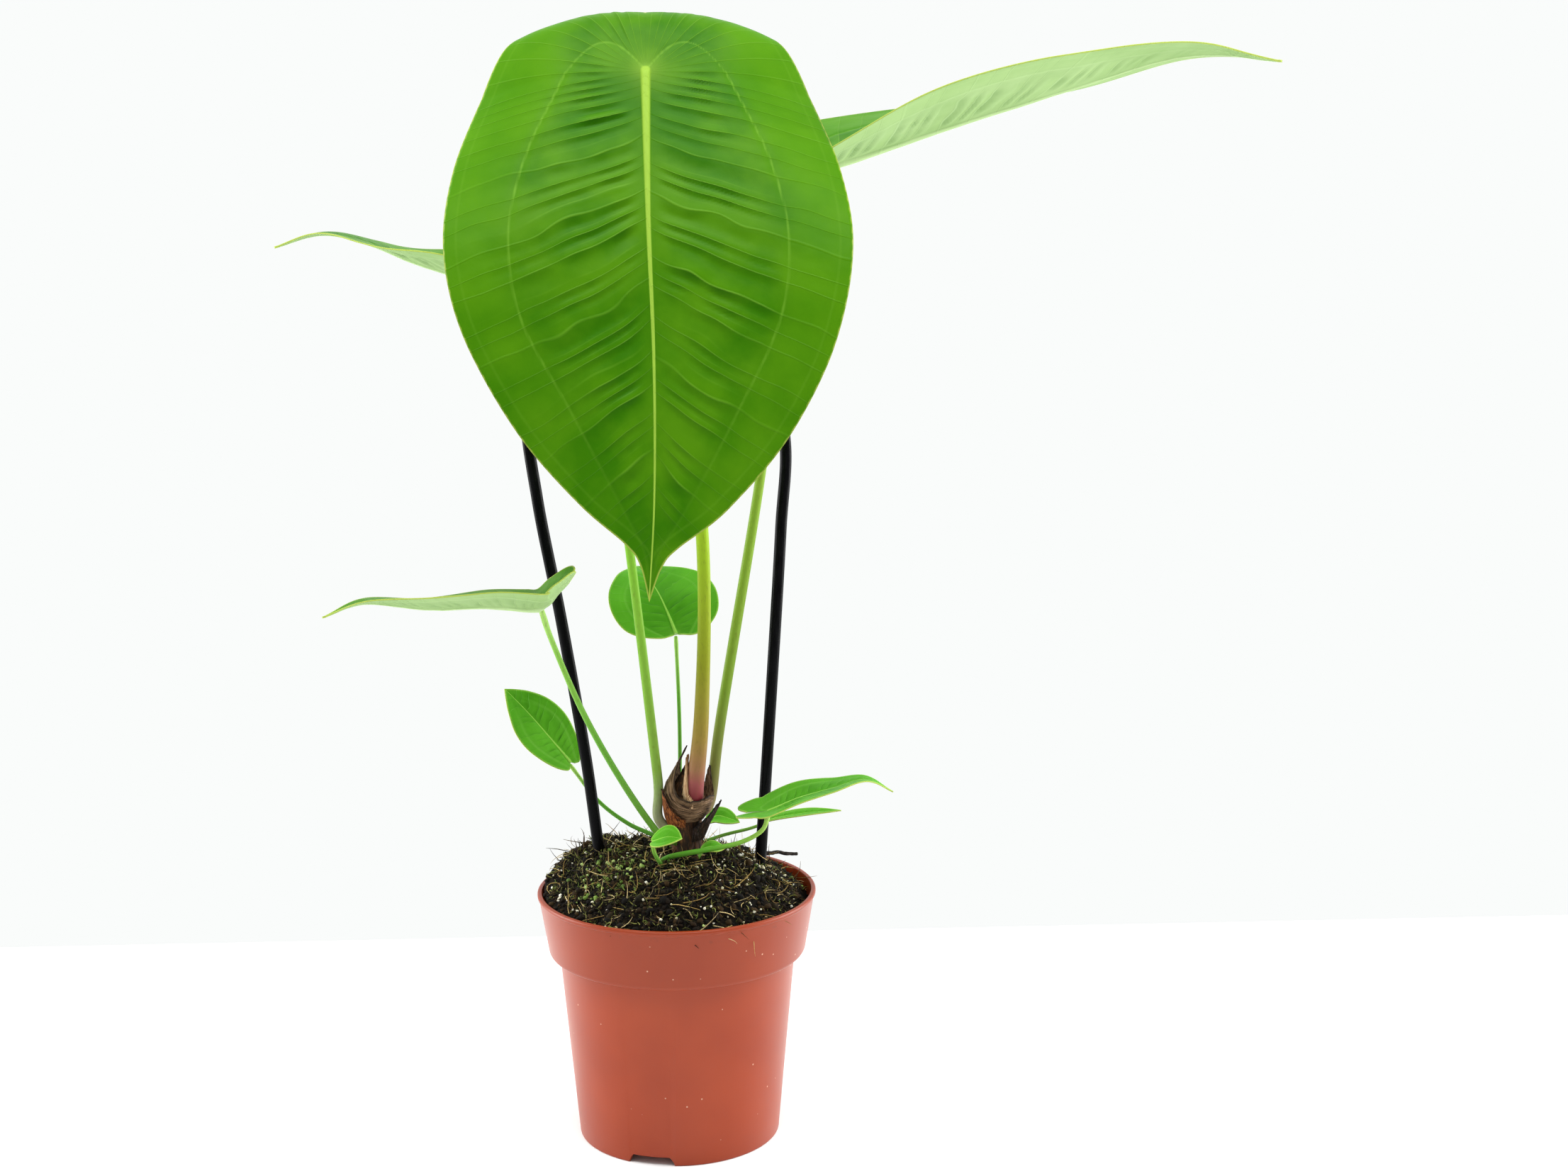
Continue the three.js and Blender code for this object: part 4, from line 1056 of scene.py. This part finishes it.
def blade_skin(name, under, tones):
    """One side of a blade: waxy above, matt below. tones are, in turn, the tissue in light and shade, the
    painted shade in the furrows, veins, midrib, margin, and the tissue outside the collective vein, which
    also paints light on the crests."""
    light, shade, painted_furrow_shade, vein, midrib, margin, outer = tones
    rough = 0.6 if under else 0.34
    material, tree = new_material(name, Roughness=rough, IOR=1.4, Specular_IOR_Level=0.06)
    amount = {}
    for field in ("phase", "pleat", "minor", "ring", "outer", "star", "fan", "edge", "rib", "along"):
        amount[field] = add_node(tree, "Attribute", attribute_name=field).outputs["Fac"]
    amount["turn"] = add_node(tree, "Math", {0: amount["phase"]}, operation="FRACT").outputs[0]
    ramps = {
        # Painted shade: darkest just past each side vein, where the pleat dips, fading over the way to the
        # next.
        "painted_furrow_shade": [(0.0, 0.3), (0.03, 1.0), (0.14, 0.7), (0.4, 0.12), (0.9, 0.0)],
        # Painted light: lighter on the swell just before the next side vein, where the tissue faces up.
        "painted_crest_light": [(0.5, 0.0), (0.88, 0.5), (0.99, 0.3)],
    }
    for key, stops in ramps.items():
        amount[key] = add_node(tree, "ValToRGB", {"Fac": amount["turn"]}, stops=stops).outputs["Color"]

    # side_vein is how far a point is from half way between two side veins, so it is largest on one, and
    # thin_vein how far from the thin vein between them, as shares of the way. inner_vein is in millimetres.
    for key, source, centre in (
        ("side_vein", "turn", 0.5), ("thin_vein", "turn", THIN_VEIN), ("inner_vein", "edge", INNER_VEIN),
    ):
        off = add_node(tree, "Math", {0: amount[source], 1: centre}, operation="SUBTRACT").outputs[0]
        amount[key] = add_node(tree, "Math", {0: off}, operation="ABSOLUTE").outputs[0]
    # How strongly each shows: its source, the range of that, and the strength at both ends. The side
    # veins come out about 0.4 mm wide and the collective vein 1 mm.
    ranges = {
        "outer": ("outer", 0.0, 1.0, 0.0, 0.5),
        "side_vein": ("side_vein", 0.455, 0.49, 0.0, 1.0),
        "vein_tint": ("pleat", 0.0, 0.8, 0.05, 0.45),
        "thin_vein": ("thin_vein", 0.015, 0.04, 0.4, 0.0),
        "ring": ("ring", 0.25, 0.8, 0.5, 0.0),
        "fading": ("along", 0.4, 0.8, 1.0, 0.15),
        "inner_vein": ("inner_vein", 0.2, 0.7, 0.1, 0.0),
        "rib": ("rib", 0.7, 1.15, 1.0, 0.0),
        "edge": ("edge", 0.3, 0.75, 0.9, 0.0),
    }
    for key, (source, low, high, start, end) in ranges.items():
        limits = {"Value": amount[source], "From Min": low, "From Max": high, "To Min": start, "To Max": end}
        amount[key] = add_node(tree, "MapRange", limits).outputs[0]
    # Each of these amounts is multiplied by another or by a number, or has another added, in turn.
    for key, operation, factor in (
        ("painted_furrow_shade", "MULTIPLY", "pleat"), ("painted_furrow_shade", "MULTIPLY", 0.62), ("painted_crest_light", "MULTIPLY", "pleat"),
        ("fan", "MULTIPLY", 0.9), ("vein_tint", "ADD", "fan"), ("vein_tint", "MULTIPLY", "side_vein"),
        ("thin_vein", "MULTIPLY", "minor"), ("ring", "MULTIPLY", "fading"), ("star", "MULTIPLY", 0.6),
    ):
        inputs = {0: amount[key], 1: amount.get(factor, factor)}
        amount[key] = add_node(tree, "Math", inputs, operation=operation).outputs[0]

    place = add_node(tree, "TexCoord").outputs["Object"]
    clouds = add_node(tree, "TexNoise", {"Vector": place, "Scale": per(26), "Detail": 5.0}).outputs["Fac"]
    tissue = [(0.36, shade), (0.64, light)]
    colour = add_node(tree, "ValToRGB", {"Fac": clouds}, stops=tissue).outputs["Color"]
    # Painted shade in the furrows and painted light on the crests, in the outer tissue's tone, are mixed in
    # among the blade's own colours.
    for key, tone in (
        ("outer", outer), ("painted_furrow_shade", painted_furrow_shade), ("painted_crest_light", outer), ("vein_tint", vein), ("thin_vein", vein),
        ("ring", vein), ("inner_vein", vein), ("star", midrib), ("rib", midrib), ("edge", margin),
    ):
        colour = add_node(
            tree, "Mix", {"Factor": amount[key], "A": colour, "B": linear(tone)}, data_type="RGBA"
        ).outputs["Result"]
    fine = add_node(tree, "TexNoise", {"Vector": place, "Scale": per(2.4), "Detail": 3.0}).outputs["Fac"]
    grain = add_node(tree, "Bump", {"Strength": 0.25, "Distance": 0.25 * MM, "Height": fine}).outputs[0]
    raised = add_node(
        tree, "Bump",
        {"Strength": 0.5, "Distance": 0.2 * MM, "Height": amount["side_vein"], "Normal": grain},
    ).outputs[0]
    feed(tree, Base_Color=colour, Normal=raised)
    return material


# In each set the third tone is painted shade for the furrows, and the last, the tissue outside the
# collective vein, also paints light on the crests.
UPPER = ("#447508", "#2c6202", "#154400", "#66942a", "#86a83a", "#8f9f42", "#477c04")
LOWER = ("#93ae75", "#86a368", "#74935a", "#a6c28a", "#adc68e", "#a2b24e", "#8fae6c")
YOUNG = ("#57a024", "#418616", "#2f6a0e", "#6cac3e", "#8cc04e", "#86b448", "#57a024")
upper_side = blade_skin("blade_upper_side", False, UPPER)
lower_side = blade_skin("blade_lower_side", True, LOWER)
young_side = blade_skin("young_blade_upper_side", False, YOUNG)

for name, leaf in LEAVES.items():
    points, faces, sides, fields = blade_body(leaf)
    top = upper_side if leaf["width"] > 55 else young_side
    piece = make_piece("blade_" + name, points, faces, [top, lower_side], fields, 180, sides)
    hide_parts("leaf_" + name)

# ---- Dry twig ----
# A dead root that sticks out of the mix at its right edge and lies towards the rim: thin, crooked and
# almost black, shrunk and wrinkled as it dried.
TWIG_PATH = [(30, 12, 114), (39, 14, 118.5), (53, 17, 117)]
TWIG_RADII = [1.1, 0.7]


def dead_root():
    """Dead root: dull black-brown and wrinkled along its length."""
    material, tree = new_material("dead_root", Roughness=0.85, IOR=1.45)
    place = add_node(tree, "TexCoord").outputs["Object"]
    grain = add_node(tree, "TexNoise", {"Vector": place, "Scale": per(1.0), "Detail": 5.0}).outputs["Fac"]
    brown = [(0.4, "#100c0a"), (0.75, "#3a2c22")]
    colour = add_node(tree, "ValToRGB", {"Fac": grain}, stops=brown).outputs["Color"]
    bump = add_node(tree, "Bump", {"Strength": 0.9, "Distance": 0.3 * MM, "Height": grain}).outputs[0]
    feed(tree, Base_Color=colour, Normal=bump)
    return material


line = smooth_path(TWIG_PATH, 24)
line = line + 0.5 * np.stack([lumps(line + shift, 4, 2) for shift in (0, 50, 90)], 1)
share = lengths_along(line) / lengths_along(line)[-1]
thick = eased(TWIG_RADII, share) * (1 + 0.25 * lumps(line, 2.5, 2))
points, faces, _ = sweep(line, thick, 14)
twig = make_piece("dry_twig_root", points, faces, [dead_root()], crease=180)
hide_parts("dry_twig")

# ---- Studio ----
# Not part of the object: a pale floor that ends behind the plant, a white surround, two soft boxes at the
# sides, one above, and the camera.
FLOOR_BACK = 0.254  # metres
floor_mesh = bpy.data.meshes.new("floor")
floor_mesh.from_pydata(
    [(-4, -4, 0), (4, -4, 0), (4, FLOOR_BACK, 0), (-4, FLOOR_BACK, 0)], [], [(0, 1, 2, 3)]
)
floor = bpy.data.objects.new("floor", floor_mesh)
bpy.context.scene.collection.objects.link(floor)
painted, painted_tree = new_material("white_painted_board", Roughness=0.6)
speckle = add_node(painted_tree, "TexNoise", {"Scale": 3.0, "Detail": 2.0}).outputs["Fac"]
board = add_node(painted_tree, "ValToRGB", {"Fac": speckle}, stops=[(0.3, "#eeefef"), (0.7, "#f3f4f4")])
feed(painted_tree, Base_Color=board.outputs["Color"])
floor_mesh.materials.append(painted)

world = bpy.data.worlds.new("white_surround")
world.use_nodes = True
surround = world.node_tree.nodes["Background"]
surround.inputs["Color"].default_value = linear("#fafcfb")
direction = add_node(world.node_tree, "TexCoord").outputs["Generated"]
depth = add_node(world.node_tree, "SeparateXYZ", {0: direction}).outputs["Y"]
# The room in front of the table is dimmer than the white sheet behind it.
glow = add_node(
    world.node_tree, "MapRange",
    {"Value": depth, "From Min": -0.8, "From Max": 0.1, "To Min": 0.5, "To Max": 1.0},
)
world.node_tree.links.new(glow.outputs[0], surround.inputs["Strength"])
bpy.context.scene.world = world
bpy.context.scene.view_settings.view_transform = "Standard"


def soft_box(name, place, towards, size, power):
    """A rectangular area light that faces a point. Places and sizes are in metres."""
    light = bpy.data.lights.new(name, "AREA")
    light.shape = "RECTANGLE"
    light.size, light.size_y = size
    light.energy = power
    lamp = bpy.data.objects.new(name, light)
    lamp.location = place
    lamp.rotation_euler = (Vector(towards) - Vector(place)).to_track_quat("-Z", "Y").to_euler()
    bpy.context.scene.collection.objects.link(lamp)


soft_box("soft_box_left", (-1.1, 0.3, 0.5), (0, 0, 0.2), (0.8, 1.0), 17)
soft_box("soft_box_right", (1.1, 0.25, 0.5), (0, 0, 0.2), (0.8, 1.0), 18)
soft_box("soft_box_top", (0, -0.35, 1.5), (0, 0, 0.2), (1.2, 1.0), 24)

CAMERA_PLACE = (0, -0.940, 0.411)  # metres
PITCH_DOWN, TURN_RIGHT, TILT = 10.36, 2.85, -0.25  # degrees
FRAME_WIDTH, LENS = 36, 52.08  # millimetres
camera_data = bpy.data.cameras.new("camera")
camera_data.sensor_width = FRAME_WIDTH
camera_data.lens = LENS
camera = bpy.data.objects.new("camera", camera_data)
camera.location = CAMERA_PLACE
aim = Matrix.Rotation(math.radians(-TURN_RIGHT), 4, "Z")
aim = aim @ Matrix.Rotation(math.radians(90 - PITCH_DOWN), 4, "X")
camera.rotation_euler = (aim @ Matrix.Rotation(math.radians(TILT), 4, "Z")).to_euler()
bpy.context.scene.collection.objects.link(camera)
bpy.context.scene.camera = camera
